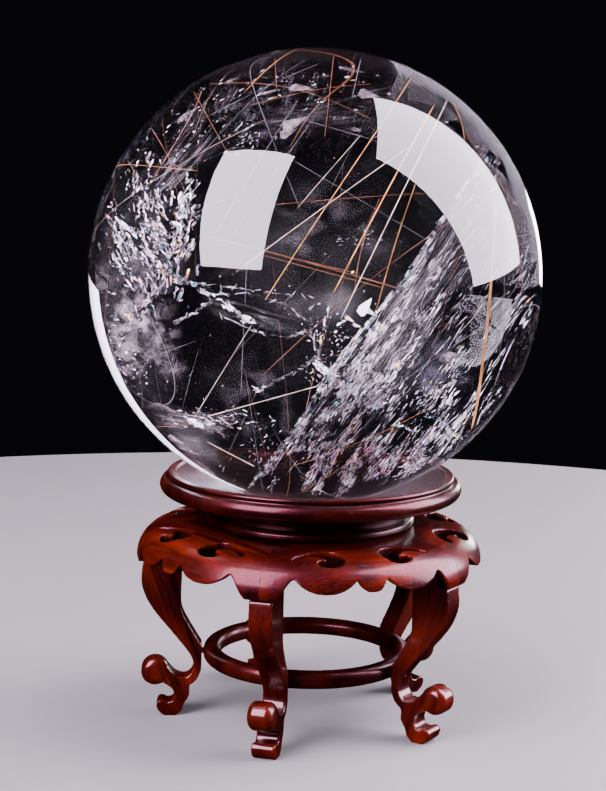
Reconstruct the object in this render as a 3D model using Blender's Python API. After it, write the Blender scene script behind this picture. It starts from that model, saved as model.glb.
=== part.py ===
"""Crystal ball on a carved five-legged wooden stand.

The stand's turned axis is Z, its feet stand on Z = 0, and leg 1 points along -Y. A clear sphere rests in
the turned seat. The seat's spigot plugs into a ring of five apron segments, each seam of that ring sits over
a leg, and a turned stretcher ring ties the five legs together low down.
"""

import math

import bmesh
import bpy
from mathutils import Matrix, Vector

MM = 0.001
GAP = 0.3 * MM  # clearance left between neighbouring pieces
CUT_PAST = 2.0 * MM  # how far a cutter runs past the face it opens
LEGS = 5
SECTOR = 2 * math.pi / LEGS

# Ball
BALL_RADIUS = 50.0 * MM
BALL_CENTRE_Z = 100.5 * MM
BALL_SEGMENTS, BALL_RINGS = 44, 22

# Seat: a dish, a lip, a half-round moulding, a coved waist, a bead and a spigot
DISH_RADIUS = BALL_RADIUS + GAP
DISH_CAP_EDGE = 20.0 * MM
LIP_INNER, LIP_OUTER, LIP_TOP = 30.2 * MM, 32.2 * MM, 56.7 * MM
LIP_STEP, LIP_EDGE = 0.7 * MM, 0.4 * MM
GROOVE_RADIUS, GROOVE_Z = 31.5 * MM, 55.5 * MM
MOULDING_RADIUS, MOULDING_CENTRE = 1.9 * MM, (32.0 * MM, 53.7 * MM)
WAIST_RADIUS, WAIST_Z = 22.3 * MM, 47.6 * MM
BEAD_RADIUS, BEAD_CENTRE = 1.1 * MM, (22.4 * MM, 46.4 * MM)
SPIGOT_RADIUS = 20.0 * MM
SEAT_STEPS = 40
DISH_STEPS = 3

# Apron: a shallow dome with a scalloped skirt, in five segments
APRON_TOP, APRON_UNDERSIDE = 45.0 * MM, 41.0 * MM
APRON_LEVEL_TO, SHOULDER_CENTRE = 27.0 * MM, (32.0 * MM, 37.6 * MM)
APRON_OUTER, SKIRT_INNER, TONGUE_FOOT = 38.9 * MM, 35.7 * MM, 38.5 * MM
TONGUE_BOTTOM = 36.1 * MM
LOBE_BOTTOM, CENTRE_LOBE_BOTTOM, NOTCH_TOP = 38.0 * MM, 38.3 * MM, 40.9 * MM
CENTRE_NOTCH, LEG_NOTCH = math.radians(4.9), math.radians(25.2)
TONGUE_EDGE = math.radians(32.2)
SEAM = math.radians(0.22)  # half the angle left open at a seam
SEGMENT_STEPS = 10

# Legs: flat boards with a scrolled foot
LEG_THICKNESS = 5.2 * MM
LEG_TOP = APRON_UNDERSIDE - GAP
SHOULDER_Z = TONGUE_BOTTOM - GAP
LEG_SOFTENING = 0.55 * MM

# Stretcher ring, and the dowels and pegs that hold the legs
STRETCHER_RADIUS, STRETCHER_SECTION, STRETCHER_Z = 21.7 * MM, 2.0 * MM, 14.7 * MM
DOWEL_RADIUS, DOWEL_AT = 1.2 * MM, 32.0 * MM
DOWEL_BOTTOM, DOWEL_TOP = 37.9 * MM, 43.2 * MM
PEG_RADIUS, PEG_INNER, PEG_OUTER = 0.7 * MM, 20.9 * MM, 26.0 * MM
STRETCHER_STEPS, STRETCHER_SIDES = 45, 8
ROUND_SIDES = 12
SMOOTH_BELOW = math.radians(35)  # edges flatter than this are shaded smooth


def clear_scene():
    for thing in list(bpy.data.objects):
        bpy.data.objects.remove(thing)


def material(name, colour, roughness, transmission=0.0):
    made = bpy.data.materials.new(name)
    made.use_nodes = True
    shader = made.node_tree.nodes["Principled BSDF"]
    shader.inputs["Base Color"].default_value = (*colour, 1.0)
    shader.inputs["Roughness"].default_value = roughness
    shader.inputs["Metallic"].default_value = 0.0
    shader.inputs["Transmission Weight"].default_value = transmission
    return made


def finish(mesh_work, name):
    """Turn a bmesh into a mesh with outward normals and smooth rounds."""
    bmesh.ops.remove_doubles(mesh_work, verts=mesh_work.verts, dist=1e-6)
    bmesh.ops.recalc_face_normals(mesh_work, faces=mesh_work.faces)
    mesh = bpy.data.meshes.new(name)
    mesh_work.to_mesh(mesh)
    mesh_work.free()
    shade(mesh)
    return mesh


def shade(mesh):
    mesh.shade_smooth()
    mesh.set_sharp_from_angle(angle=SMOOTH_BELOW)


def add(name, mesh, place=Matrix()):
    thing = bpy.data.objects.new(name, mesh)
    thing.matrix_world = place
    bpy.context.scene.collection.objects.link(thing)
    return thing


def cut(blank, cutters, name):
    """The mesh of a blank after every cutter is taken out of it."""
    body = add(name + "_blank", blank)
    helpers = [add(name + "_cutter", cutter) for cutter in cutters]
    for helper in helpers:
        helper.display_type = "WIRE"
        helper.hide_render = True
        modifier = body.modifiers.new("cut", "BOOLEAN")
        modifier.operation = "DIFFERENCE"
        modifier.solver = "EXACT"
        modifier.object = helper
    graph = bpy.context.evaluated_depsgraph_get()
    result = bpy.data.meshes.new_from_object(body.evaluated_get(graph))
    for thing in [body, *helpers]:
        bpy.data.objects.remove(thing)
    result.name = name
    result.materials.clear()
    shade(result)
    return result


def turned(profile, steps, name, start=0.0, angle=2 * math.pi):
    """Spin a profile of (radius, height) points about Z. A part turn is closed by flat ends."""
    work = bmesh.new()
    whole = abs(angle - 2 * math.pi) < 1e-9
    corners = [work.verts.new((radius * math.sin(start), -radius * math.cos(start), height))
               for radius, height in profile]
    open_ended = whole and profile[0][0] == 0
    ends = corners[1:] if open_ended else corners[1:] + corners[:1]
    edges = [work.edges.new(pair) for pair in zip(corners, ends)]
    bmesh.ops.spin(work, geom=corners + edges, axis=(0, 0, 1), cent=(0, 0, 0), angle=angle, steps=steps,
                   use_merge=whole)
    bmesh.ops.remove_doubles(work, verts=work.verts, dist=1e-6)
    if not whole:
        bmesh.ops.holes_fill(work, edges=work.edges, sides=0)
    return finish(work, name)


def prism(outline, low, high, name):
    """Extrude an outline of (x, y) points from height low to height high."""
    work = bmesh.new()
    face = work.faces.new([work.verts.new((x, y, low)) for x, y in outline])
    grown = bmesh.ops.extrude_face_region(work, geom=[face])
    moved = [part for part in grown["geom"] if isinstance(part, bmesh.types.BMVert)]
    bmesh.ops.translate(work, verts=moved, vec=(0, 0, high - low))
    return finish(work, name)


def rod(radius, start, end, name):
    """A round rod between two points."""
    work = bmesh.new()
    along = Vector(end) - Vector(start)
    turn = along.to_track_quat("Z", "Y").to_matrix().to_4x4()
    place = Matrix.Translation((Vector(start) + Vector(end)) / 2) @ turn
    bmesh.ops.create_cone(work, cap_ends=True, segments=ROUND_SIDES, radius1=radius, radius2=radius,
                          depth=along.length, matrix=place)
    return finish(work, name)


def arc(centre, radius, first, last, steps):
    """Points of (radius, height) along an arc, its angles in degrees from the outward direction."""
    angles = [math.radians(first + (last - first) * step / steps) for step in range(steps + 1)]
    return [(centre[0] + radius * math.cos(a), centre[1] + radius * math.sin(a)) for a in angles]


def smooth_closed(points, per_span):
    """A closed Catmull-Rom curve through the points."""
    count = len(points)
    curve = []
    for index in range(count):
        before, here, after, beyond = (Vector(points[(index + k) % count]) for k in (-1, 0, 1, 2))
        for step in range(per_span):
            t = step / per_span
            rise = (after - before) * t
            bend = (2 * before - 5 * here + 4 * after - beyond) * t ** 2
            twist = (3 * here - before - 3 * after + beyond) * t ** 3
            curve.append(tuple(0.5 * (2 * here + rise + bend + twist)))
    return curve


def smooth_run(points, per_span):
    """An open Catmull-Rom curve through the points."""
    ends = [points[0], *points, points[-1]]
    curve = smooth_closed(ends, per_span)
    return curve[per_span:per_span * len(points)] + [points[-1]]


def ball_mesh():
    work = bmesh.new()
    bmesh.ops.create_uvsphere(work, u_segments=BALL_SEGMENTS, v_segments=BALL_RINGS, radius=BALL_RADIUS)
    return finish(work, "crystal_ball")


def cove_between(rim, waist):
    """Points of a hollow curve that leaves the rim level and reaches the waist upright."""
    turn = (waist[0], rim[1])
    points = []
    for t in (0.25, 0.5, 0.75, 1.0):
        weights = ((1 - t) ** 2, 2 * t * (1 - t), t ** 2)
        points.append(tuple(sum(w * end[k] for w, end in zip(weights, (rim, turn, waist))) for k in (0, 1)))
    return points


def seat_profile():
    cap = [DISH_CAP_EDGE * step / DISH_STEPS for step in range(DISH_STEPS + 1)]
    dish = [(radius, BALL_CENTRE_Z - math.sqrt(DISH_RADIUS ** 2 - radius ** 2)) for radius in cap]
    lip = [(LIP_INNER, LIP_TOP - LIP_STEP), (LIP_INNER + LIP_EDGE / 2, LIP_TOP),
           (LIP_OUTER - LIP_EDGE, LIP_TOP), (LIP_OUTER, LIP_TOP - LIP_EDGE), (GROOVE_RADIUS, GROOVE_Z)]
    moulding = arc(MOULDING_CENTRE, MOULDING_RADIUS, 75, -90, 6)
    cove = cove_between(moulding[-1], (WAIST_RADIUS, WAIST_Z))
    bead = arc(BEAD_CENTRE, BEAD_RADIUS, 60, -90, 4)
    spigot = [(SPIGOT_RADIUS, bead[-1][1]), (SPIGOT_RADIUS, APRON_UNDERSIDE), (0, APRON_UNDERSIDE)]
    return dish + lip + moulding + cove + bead + spigot


def apron_profile():
    hole = SPIGOT_RADIUS + GAP
    shoulder = arc(SHOULDER_CENTRE, APRON_OUTER - SHOULDER_CENTRE[0], 76, 0, 5)
    return [(hole, APRON_TOP), (APRON_LEVEL_TO, APRON_TOP), *shoulder, (TONGUE_FOOT, TONGUE_BOTTOM),
            (SKIRT_INNER, TONGUE_BOTTOM), (SKIRT_INNER, APRON_UNDERSIDE), (hole, APRON_UNDERSIDE)]


def skirt_edge(angle):
    """Height of the scalloped edge at an angle from the segment's middle."""
    angle = abs(angle)
    if angle < CENTRE_NOTCH:
        return NOTCH_TOP - (NOTCH_TOP - CENTRE_LOBE_BOTTOM) * (1 - angle / CENTRE_NOTCH)
    if angle < LEG_NOTCH:
        across = (angle - CENTRE_NOTCH) / (LEG_NOTCH - CENTRE_NOTCH)
        return NOTCH_TOP - (NOTCH_TOP - LOBE_BOTTOM) * (1 - (2 * across - 1) ** 2)
    across = (angle - LEG_NOTCH) / (TONGUE_EDGE - LEG_NOTCH)
    fall = across ** 2 * (3 - 2 * across)
    return NOTCH_TOP - (NOTCH_TOP - TONGUE_BOTTOM + 2 * GAP) * fall


def skirt_cutter():
    """The space under the scalloped edge, as a wall of columns about Z."""
    lobe = [CENTRE_NOTCH + (LEG_NOTCH - CENTRE_NOTCH) * step / 8 for step in range(9)]
    fall = [LEG_NOTCH + (TONGUE_EDGE - LEG_NOTCH) * step / 4 for step in range(1, 5)]
    half = [CENTRE_NOTCH / 2, *lobe, *fall]
    work = bmesh.new()
    columns = []
    for angle in [-a for a in reversed(half)] + [0.0] + half:
        inner, outer, low = SKIRT_INNER - 2 * GAP, APRON_OUTER + CUT_PAST, TONGUE_BOTTOM - CUT_PAST
        top = skirt_edge(angle)
        corners = [(inner, low), (outer, low), (outer, top), (inner, top)]
        columns.append([work.verts.new((r * math.sin(angle), -r * math.cos(angle), z)) for r, z in corners])
    for one, two in zip(columns, columns[1:]):
        for k in range(4):
            work.faces.new((one[k], one[(k + 1) % 4], two[(k + 1) % 4], two[k]))
    work.faces.new(columns[0])
    work.faces.new(columns[-1])
    return finish(work, "skirt_cutter")


# The comma-shaped piercing, as (degrees from the segment's middle, radius in mm): a round body near
# the middle, a tail that runs along the inner side towards the leg, and a hook that curls round a
# finger of wood.
PIERCING = [(27.2, 34.2), (25.9, 31.7), (21.7, 29.7), (16.4, 28.4), (11.5, 28.5), (8.3, 30.3), (7.5, 33.0),
            (8.9, 35.0), (12.6, 35.8), (16.6, 35.4), (17.9, 34.3), (16.4, 33.6), (14.7, 33.4), (15.4, 32.3),
            (20.8, 31.7), (24.3, 33.2)]


def piercing_cutter(side):
    points = []
    for degrees, radius in PIERCING:
        angle = math.radians(degrees) * side
        points.append((radius * MM * math.sin(angle), -radius * MM * math.cos(angle)))
    low, high = APRON_UNDERSIDE - CUT_PAST, APRON_TOP + CUT_PAST
    return prism(smooth_closed(points, 2), low, high, "piercing_cutter")


def dowel_cutter(angle):
    x, y = DOWEL_AT * math.sin(angle), -DOWEL_AT * math.cos(angle)
    low, high = APRON_UNDERSIDE - CUT_PAST, DOWEL_TOP + GAP
    return rod(DOWEL_RADIUS + GAP, (x, y, low), (x, y, high), "dowel_cutter")


def apron_segment_mesh():
    """One segment, its middle at -Y."""
    half = SECTOR / 2 - SEAM
    blank = turned(apron_profile(), SEGMENT_STEPS, "apron_segment", -half, 2 * half)
    cutters = [skirt_cutter(), piercing_cutter(1), piercing_cutter(-1)]
    cutters += [dowel_cutter(SECTOR / 2), dowel_cutter(-SECTOR / 2)]
    return cut(blank, cutters, "apron_segment")


def leg_outline():
    """(radius, height) points of a leg seen from its side, in mm."""
    skirt = SKIRT_INNER / MM - 0.3
    shoulder = SHOULDER_Z / MM
    front = smooth_run([(38.4, shoulder), (38.0, 30.7), (36.4, 27.0), (34.2, 23.7), (31.7, 20.7),
                        (28.3, 16.6), (26.3, 13.8), (25.8, 11.5), (26.5, 9.7), (28.0, 8.9), (29.9, 9.5),
                        (31.6, 11.2)], 2)
    knob = arc((34.5, 10.1), 3.0, 125, -120, 10)
    toe = smooth_run([(31.6, 7.0), (30.5, 6.1), (30.1, 4.8), (30.5, 3.5), (31.7, 3.1), (33.2, 3.6),
                      (34.1, 2.6), (33.7, 1.1), (32.4, 0.0)], 2)
    heel = smooth_run([(29.6, 0.0), (28.4, 1.1), (27.8, 2.8), (26.7, 4.6), (26.7, 6.8), (25.0, 8.4),
                       (24.0, 10.8)], 2)
    back = [(24.0, 16.4), (26.2, 20.0), (28.1, 23.4), (28.8, 26.0), (28.7, 31.0)]
    top = [(28.6, LEG_TOP / MM), (skirt, LEG_TOP / MM), (skirt, shoulder)]
    return [(r * MM, z * MM) for r, z in front + knob + toe + heel + back + top]


def leg_mesh():
    """One leg, pointing along -Y."""
    work = bmesh.new()
    side = LEG_THICKNESS / 2
    face = work.faces.new([work.verts.new((-side, -r, z)) for r, z in leg_outline()])
    grown = bmesh.ops.extrude_face_region(work, geom=[face])
    moved = [part for part in grown["geom"] if isinstance(part, bmesh.types.BMVert)]
    bmesh.ops.translate(work, verts=moved, vec=(LEG_THICKNESS, 0, 0))
    bmesh.ops.recalc_face_normals(work, faces=work.faces)
    rims = [edge for edge in work.edges if softened(edge)]
    bmesh.ops.bevel(work, geom=rims, offset=LEG_SOFTENING, segments=1, affect="EDGES", clamp_overlap=True)
    blank = finish(work, "leg")
    dowel_low, dowel_high = DOWEL_BOTTOM - GAP, LEG_TOP + CUT_PAST
    dowel_hole = rod(DOWEL_RADIUS + GAP, (0, -DOWEL_AT, dowel_low), (0, -DOWEL_AT, dowel_high), "hole")
    peg_hole = rod(PEG_RADIUS + GAP, (0, -PEG_INNER, STRETCHER_Z), (0, -PEG_OUTER - GAP, STRETCHER_Z), "hole")
    return cut(blank, [dowel_hole, peg_hole], "leg")


def softened(edge):
    """Whether an edge runs round the leg's free outline, between its foot's flat and its shoulder."""
    one, two = (vertex.co for vertex in edge.verts)
    on_a_face = abs(one.x - two.x) < 1e-7
    return on_a_face and max(one.z, two.z) < SHOULDER_Z - 1e-6 and max(one.z, two.z) > 1e-6


def stretcher_mesh():
    last = 360 / STRETCHER_SIDES - 360
    section = arc((STRETCHER_RADIUS, STRETCHER_Z), STRETCHER_SECTION, 0, last, STRETCHER_SIDES - 1)
    blank = turned(section, STRETCHER_STEPS, "stretcher_ring")
    up, holes = Vector((0, 0, STRETCHER_Z)), []
    for leg in range(LEGS):
        out = Vector((math.sin(leg * SECTOR), -math.cos(leg * SECTOR), 0))
        start, end = out * (PEG_INNER - GAP) + up, out * (PEG_OUTER + GAP) + up
        holes.append(rod(PEG_RADIUS + GAP, start, end, "hole"))
    return cut(blank, holes, "stretcher_ring")


def build():
    clear_scene()
    crystal = material("clear_quartz", (0.93, 0.95, 0.96), 0.02, 1.0)
    lacquered = material("lacquered_rosewood", (0.30, 0.045, 0.012), 0.16)
    dark = material("dark_rosewood", (0.13, 0.022, 0.014), 0.2)
    raw = material("raw_hardwood", (0.42, 0.24, 0.12), 0.6)

    ball, seat, stretcher = ball_mesh(), turned(seat_profile(), SEAT_STEPS, "ball_seat"), stretcher_mesh()
    segment, leg = apron_segment_mesh(), leg_mesh()
    dowel = rod(DOWEL_RADIUS, (0, -DOWEL_AT, DOWEL_BOTTOM), (0, -DOWEL_AT, DOWEL_TOP), "leg_dowel")
    peg = rod(PEG_RADIUS, (0, -PEG_INNER, STRETCHER_Z), (0, -PEG_OUTER, STRETCHER_Z), "ring_peg")
    worn = {crystal: [ball], dark: [seat, stretcher], lacquered: [segment, leg], raw: [dowel, peg]}
    for colour, meshes in worn.items():
        for mesh in meshes:
            mesh.materials.append(colour)

    add("crystal_ball", ball, Matrix.Translation((0, 0, BALL_CENTRE_Z)))
    add("ball_seat", seat)
    add("stretcher_ring", stretcher)
    for number in range(1, LEGS + 1):
        turn = (number - 1) * SECTOR
        at_leg = Matrix.Rotation(turn, 4, "Z")
        add(f"apron_segment_{number}", segment, Matrix.Rotation(turn + SECTOR / 2, 4, "Z"))
        add(f"leg_{number}", leg, at_leg)
        add(f"leg_dowel_{number}", dowel, at_leg)
        add(f"ring_peg_{number}", peg, at_leg)


build()
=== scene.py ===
"""Clear quartz ball, full of needles and veils, on a carved and lacquered five-legged stand."""

import math
import random

import bpy
import numpy as np
from mathutils import Matrix, Vector
from mathutils import noise


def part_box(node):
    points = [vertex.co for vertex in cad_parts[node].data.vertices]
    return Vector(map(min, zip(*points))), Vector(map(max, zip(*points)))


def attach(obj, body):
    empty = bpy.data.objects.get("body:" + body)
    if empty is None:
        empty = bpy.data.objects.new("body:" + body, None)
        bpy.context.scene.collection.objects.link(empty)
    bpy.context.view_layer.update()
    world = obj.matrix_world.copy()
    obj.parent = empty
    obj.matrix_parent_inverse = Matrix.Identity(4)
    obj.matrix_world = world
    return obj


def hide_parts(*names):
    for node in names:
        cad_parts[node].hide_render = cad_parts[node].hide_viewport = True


bl_info = {
    "name": "Quartz Ball on a Carved Stand",
    "version": (1, 0, 0),
    "blender": (4, 5, 0),
    "location": "View3D > Sidebar > Quartz Ball",
    "description": "Builds a quartz ball with its inclusions and its carved stand around a measured frame",
    "category": "Add Mesh",
}

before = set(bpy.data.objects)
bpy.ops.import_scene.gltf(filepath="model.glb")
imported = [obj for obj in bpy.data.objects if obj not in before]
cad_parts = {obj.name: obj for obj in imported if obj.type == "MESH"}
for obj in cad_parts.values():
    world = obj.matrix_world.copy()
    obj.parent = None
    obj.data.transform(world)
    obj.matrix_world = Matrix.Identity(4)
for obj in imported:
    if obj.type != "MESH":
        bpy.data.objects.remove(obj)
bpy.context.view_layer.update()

MM = 0.001
LEGS = 5
SECTOR = math.tau / LEGS


# ---------------------------------------------------------------- sizes read from the frame

def box_middle(node):
    low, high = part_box(node)
    return (low + high) / 2


BALL_CENTRE = box_middle("crystal_ball")
BALL_RADIUS = (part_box("crystal_ball")[1].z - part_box("crystal_ball")[0].z) / 2
PLATE_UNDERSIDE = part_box("ball_seat")[0].z
APRON_LOW, APRON_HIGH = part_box("apron_segment_1")
APRON_TOP = APRON_HIGH.z
TONGUE_BOTTOM = APRON_LOW.z
LEG_LOW, LEG_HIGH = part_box("leg_1")
LEG_THICKNESS = LEG_HIGH.x - LEG_LOW.x
RING_LOW, RING_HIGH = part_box("stretcher_ring")
RING_SECTION = (RING_HIGH.z - RING_LOW.z) / 2
RING_RADIUS = RING_HIGH.y - RING_SECTION
RING_Z = (RING_HIGH.z + RING_LOW.z) / 2
# The apron's round shoulder, in mm: its centre as (radius, height), and how far it reaches from there.
SHOULDER_AT = (32.0, 37.6)
SHOULDER_ROUND = 6.9


# ---------------------------------------------------------------- settings

class BallSettings(bpy.types.PropertyGroup):
    refraction: bpy.props.FloatProperty(
        name="Refraction", description="Index of refraction of the quartz", default=1.544, min=1.0, max=2.5)
    tint: bpy.props.FloatVectorProperty(
        name="Tint", description="Colour of the clear quartz", default=(0.985, 0.988, 1.0), subtype="COLOR")
    shade: bpy.props.FloatProperty(
        name="Shade", description="Light that each side of the ball lets lamps through", default=0.86,
        min=0.0, max=1.0)
    gold: bpy.props.FloatVectorProperty(
        name="Gold needles", description="Colour of the golden needles", default=(0.48, 0.21, 0.060),
        subtype="COLOR")
    pale: bpy.props.FloatVectorProperty(
        name="Pale needles", description="Colour of the cream needles", default=(0.66, 0.52, 0.38),
        subtype="COLOR")
    copper: bpy.props.FloatVectorProperty(
        name="Copper needles", description="Colour of the copper needles", default=(0.12, 0.038, 0.011),
        subtype="COLOR")
    silver: bpy.props.FloatVectorProperty(
        name="Silver needles", description="Colour of the hair-thin silver needles",
        default=(0.22, 0.21, 0.23), subtype="COLOR")
    veil_shards: bpy.props.IntProperty(
        name="Veil shards", description="Number of shards in the great veil", default=5100, min=10)


class WoodSettings(bpy.types.PropertyGroup):
    dark: bpy.props.FloatVectorProperty(
        name="Dark streaks", description="Darkest colour in the red wood", default=(0.0035, 0.0002, 0.0002),
        subtype="COLOR")
    middle: bpy.props.FloatVectorProperty(
        name="Body colour", description="Main colour of the red wood", default=(0.020, 0.0006, 0.0002),
        subtype="COLOR")
    light: bpy.props.FloatVectorProperty(
        name="Light streaks", description="Lightest colour in the red wood", default=(0.100, 0.0075, 0.0008),
        subtype="COLOR")
    gloss: bpy.props.FloatProperty(
        name="Lacquer roughness", description="Roughness of the clear lacquer", default=0.08, min=0.0,
        max=1.0)
    sheen: bpy.props.FloatVectorProperty(
        name="Sheen", description="Colour of the soft gloss of the wood under its lacquer",
        default=(0.72, 0.15, 0.21), subtype="COLOR")
    voxel: bpy.props.FloatProperty(
        name="Carving grain", description="Size of the finest carved detail", default=0.26 * MM,
        subtype="DISTANCE", unit="LENGTH", precision=5)


class StageSettings(bpy.types.PropertyGroup):
    floor_colour: bpy.props.FloatVectorProperty(
        name="Floor", description="Colour of the round table top", default=(0.17, 0.168, 0.163),
        subtype="COLOR")
    floor_radius: bpy.props.FloatProperty(
        name="Floor radius", description="Radius of the round table top", default=0.33, subtype="DISTANCE",
        unit="LENGTH")
    backdrop: bpy.props.FloatVectorProperty(
        name="Backdrop", description="Colour of the surroundings", default=(0.0030, 0.0028, 0.0042),
        subtype="COLOR")
    camera_azimuth: bpy.props.FloatProperty(
        name="Camera azimuth", description="Turn of the camera from leg 1", default=math.radians(15.2),
        subtype="ANGLE", unit="ROTATION")
    camera_distance: bpy.props.FloatProperty(
        name="Camera distance", description="Distance of the camera from the stand's axis", default=0.4145,
        subtype="DISTANCE", unit="LENGTH")
    camera_height: bpy.props.FloatProperty(
        name="Camera height", description="Height of the camera above the table", default=0.1375,
        subtype="DISTANCE", unit="LENGTH")
    camera_pitch: bpy.props.FloatProperty(
        name="Camera pitch", description="How far the camera looks down", default=math.radians(8.74),
        subtype="ANGLE", unit="ROTATION")
    camera_yaw: bpy.props.FloatProperty(
        name="Camera yaw", description="How far the camera looks left of the axis", default=math.radians(0.3),
        subtype="ANGLE", unit="ROTATION")
    camera_roll: bpy.props.FloatProperty(
        name="Camera roll", description="Tilt of the camera", default=math.radians(1.29), subtype="ANGLE",
        unit="ROTATION")
    focal_length: bpy.props.FloatProperty(
        name="Focal length", description="Lens on a 36 mm wide sensor, in millimetres", default=111.3)


# ---------------------------------------------------------------- modelling helpers

def deselect():
    bpy.ops.object.select_all(action="DESELECT")


def activate(obj):
    deselect()
    obj.select_set(True)
    bpy.context.view_layer.objects.active = obj


def edit(obj):
    """Enter edit mode on one object with everything in it selected."""
    activate(obj)
    bpy.ops.object.mode_set(mode="EDIT")
    bpy.ops.mesh.select_all(action="SELECT")


def leave_edit():
    bpy.ops.object.mode_set(mode="OBJECT")


def settle(obj, name):
    """Put an object's place into its mesh and name both."""
    activate(obj)
    bpy.ops.object.transform_apply(location=True, rotation=True, scale=True)
    obj.name = obj.data.name = name
    return obj


def apply_modifier(obj, kind, **settings):
    activate(obj)
    modifier = obj.modifiers.new(kind.title(), kind)
    for key, value in settings.items():
        setattr(modifier, key, value)
    bpy.ops.object.modifier_apply(modifier=modifier.name)


def tidy_surface(obj):
    edit(obj)
    bpy.ops.mesh.remove_doubles(threshold=1e-6)
    bpy.ops.mesh.select_all(action="SELECT")
    bpy.ops.mesh.normals_make_consistent(inside=False)
    leave_edit()


def trace(points, name, closed=False):
    """Draw a chain of vertices, each one extruded from the last. A closed chain is filled."""
    deselect()
    bpy.ops.mesh.primitive_plane_add(size=MM)
    obj = settle(bpy.context.object, name)
    edit(obj)
    bpy.ops.mesh.merge(type="CENTER")
    bpy.ops.transform.translate(value=Vector(points[0]))
    for here, there in zip(points, points[1:]):
        step = Vector(there) - Vector(here)
        bpy.ops.mesh.extrude_region_move(TRANSFORM_OT_translate={"value": step})
    if closed:
        bpy.ops.mesh.select_all(action="SELECT")
        bpy.ops.mesh.edge_face_add()
    leave_edit()
    return obj


def spin_about_z(obj, steps, angle=math.tau):
    edit(obj)
    bpy.ops.mesh.spin(steps=steps, angle=angle, center=(0, 0, 0), axis=(0, 0, 1))
    leave_edit()
    tidy_surface(obj)


def thicken_along(obj, direction):
    """Extrude a flat outline into a solid."""
    edit(obj)
    bpy.ops.mesh.extrude_region_move(TRANSFORM_OT_translate={"value": direction})
    leave_edit()
    tidy_surface(obj)


def take_away(obj, cutter):
    apply_modifier(obj, "BOOLEAN", operation="DIFFERENCE", solver="EXACT", object=cutter)
    bpy.data.objects.remove(cutter)


def carve_smooth(obj, voxel, passes):
    """Give a rough solid the soft edges of carving."""
    apply_modifier(obj, "REMESH", mode="VOXEL", voxel_size=voxel, adaptivity=0.0)
    apply_modifier(obj, "SMOOTH", factor=0.5, iterations=passes)
    activate(obj)
    bpy.ops.object.shade_smooth()


def copies_round_axis(obj, base_name, first_angle=0.0):
    """The object and its turned copies, one for each leg, each with its own mesh."""
    made = []
    for number in range(LEGS):
        mesh = obj.data.copy()
        mesh.transform(Matrix.Rotation(first_angle + number * SECTOR, 4, "Z"))
        name = f"{base_name}_{number + 1}"
        copy = bpy.data.objects.new(name, mesh)
        mesh.name = name
        bpy.context.scene.collection.objects.link(copy)
        made.append(copy)
    bpy.data.objects.remove(obj)
    return made


def wear_material(obj, material):
    obj.data.materials.clear()
    obj.data.materials.append(material)


def arc(centre, radius, first, last, steps):
    angles = [math.radians(first + (last - first) * step / steps) for step in range(steps + 1)]
    return [(centre[0] + radius * math.cos(a), centre[1] + radius * math.sin(a)) for a in angles]


def smooth_closed(points, per_span):
    """A closed Catmull-Rom curve through the points."""
    count = len(points)
    curve = []
    for index in range(count):
        before, here, after, beyond = (Vector(points[(index + k) % count]) for k in (-1, 0, 1, 2))
        for step in range(per_span):
            t = step / per_span
            rise = (after - before) * t
            bend = (2 * before - 5 * here + 4 * after - beyond) * t ** 2
            twist = (3 * here - before - 3 * after + beyond) * t ** 3
            curve.append(tuple(0.5 * (2 * here + rise + bend + twist)))
    return curve


def smooth_run(points, per_span):
    """An open Catmull-Rom curve through the points."""
    ends = [points[0], *points, points[-1]]
    curve = smooth_closed(ends, per_span)
    return curve[per_span:per_span * len(points)] + [points[-1]]


# ---------------------------------------------------------------- shader helpers

def new_material(name):
    material = bpy.data.materials.new(name)
    material.use_nodes = True
    material.node_tree.nodes.clear()
    return material, material.node_tree


def node(tree, kind, place, **settings):
    made = tree.nodes.new(kind)
    made.location = place
    for key, value in settings.items():
        setattr(made, key, value)
    return made


def new_group(name, inputs, outputs):
    """An empty node group with its sockets, its input node and its output node."""
    tree = bpy.data.node_groups.new(name, "ShaderNodeTree")
    for in_out, sockets in (("INPUT", inputs), ("OUTPUT", outputs)):
        for socket, kind in sockets.items():
            tree.interface.new_socket(socket, in_out=in_out, socket_type="NodeSocket" + kind)
    return tree, node(tree, "NodeGroupInput", (-1400, 0)), node(tree, "NodeGroupOutput", (1500, 0))


def show(tree, shader, place=(250, 0)):
    """Send a shader to the material's surface."""
    output = node(tree, "ShaderNodeOutputMaterial", place)
    tree.links.new(shader.outputs[0], output.inputs[0])


def object_noise(tree, scale, detail):
    """Plain noise over an object's own coordinates."""
    place = node(tree, "ShaderNodeTexCoord", (-900, 0))
    made = node(tree, "ShaderNodeTexNoise", (-700, 0))
    set_inputs(made, Scale=scale, Detail=detail)
    tree.links.new(place.outputs["Object"], made.inputs["Vector"])
    return made.outputs["Fac"]


def set_inputs(made, **values):
    for key, value in values.items():
        made.inputs[key.replace("_", " ")].default_value = value
    return made


def ramp(tree, place, stops):
    made = node(tree, "ShaderNodeValToRGB", place)
    band = made.color_ramp
    while len(band.elements) < len(stops):
        band.elements.new(0.5)
    for element, (position, colour) in zip(band.elements, stops):
        element.position = position
        element.color = (*colour, 1.0)
    return made


def grey(value):
    return (value, value, value)


def maths(tree, place, operation, first, second=0.0):
    made = node(tree, "ShaderNodeMath", place, operation=operation)
    for socket, value in zip(made.inputs, (first, second)):
        if isinstance(value, (int, float)):
            socket.default_value = value
        else:
            tree.links.new(value, socket)
    return made.outputs[0]


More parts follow.
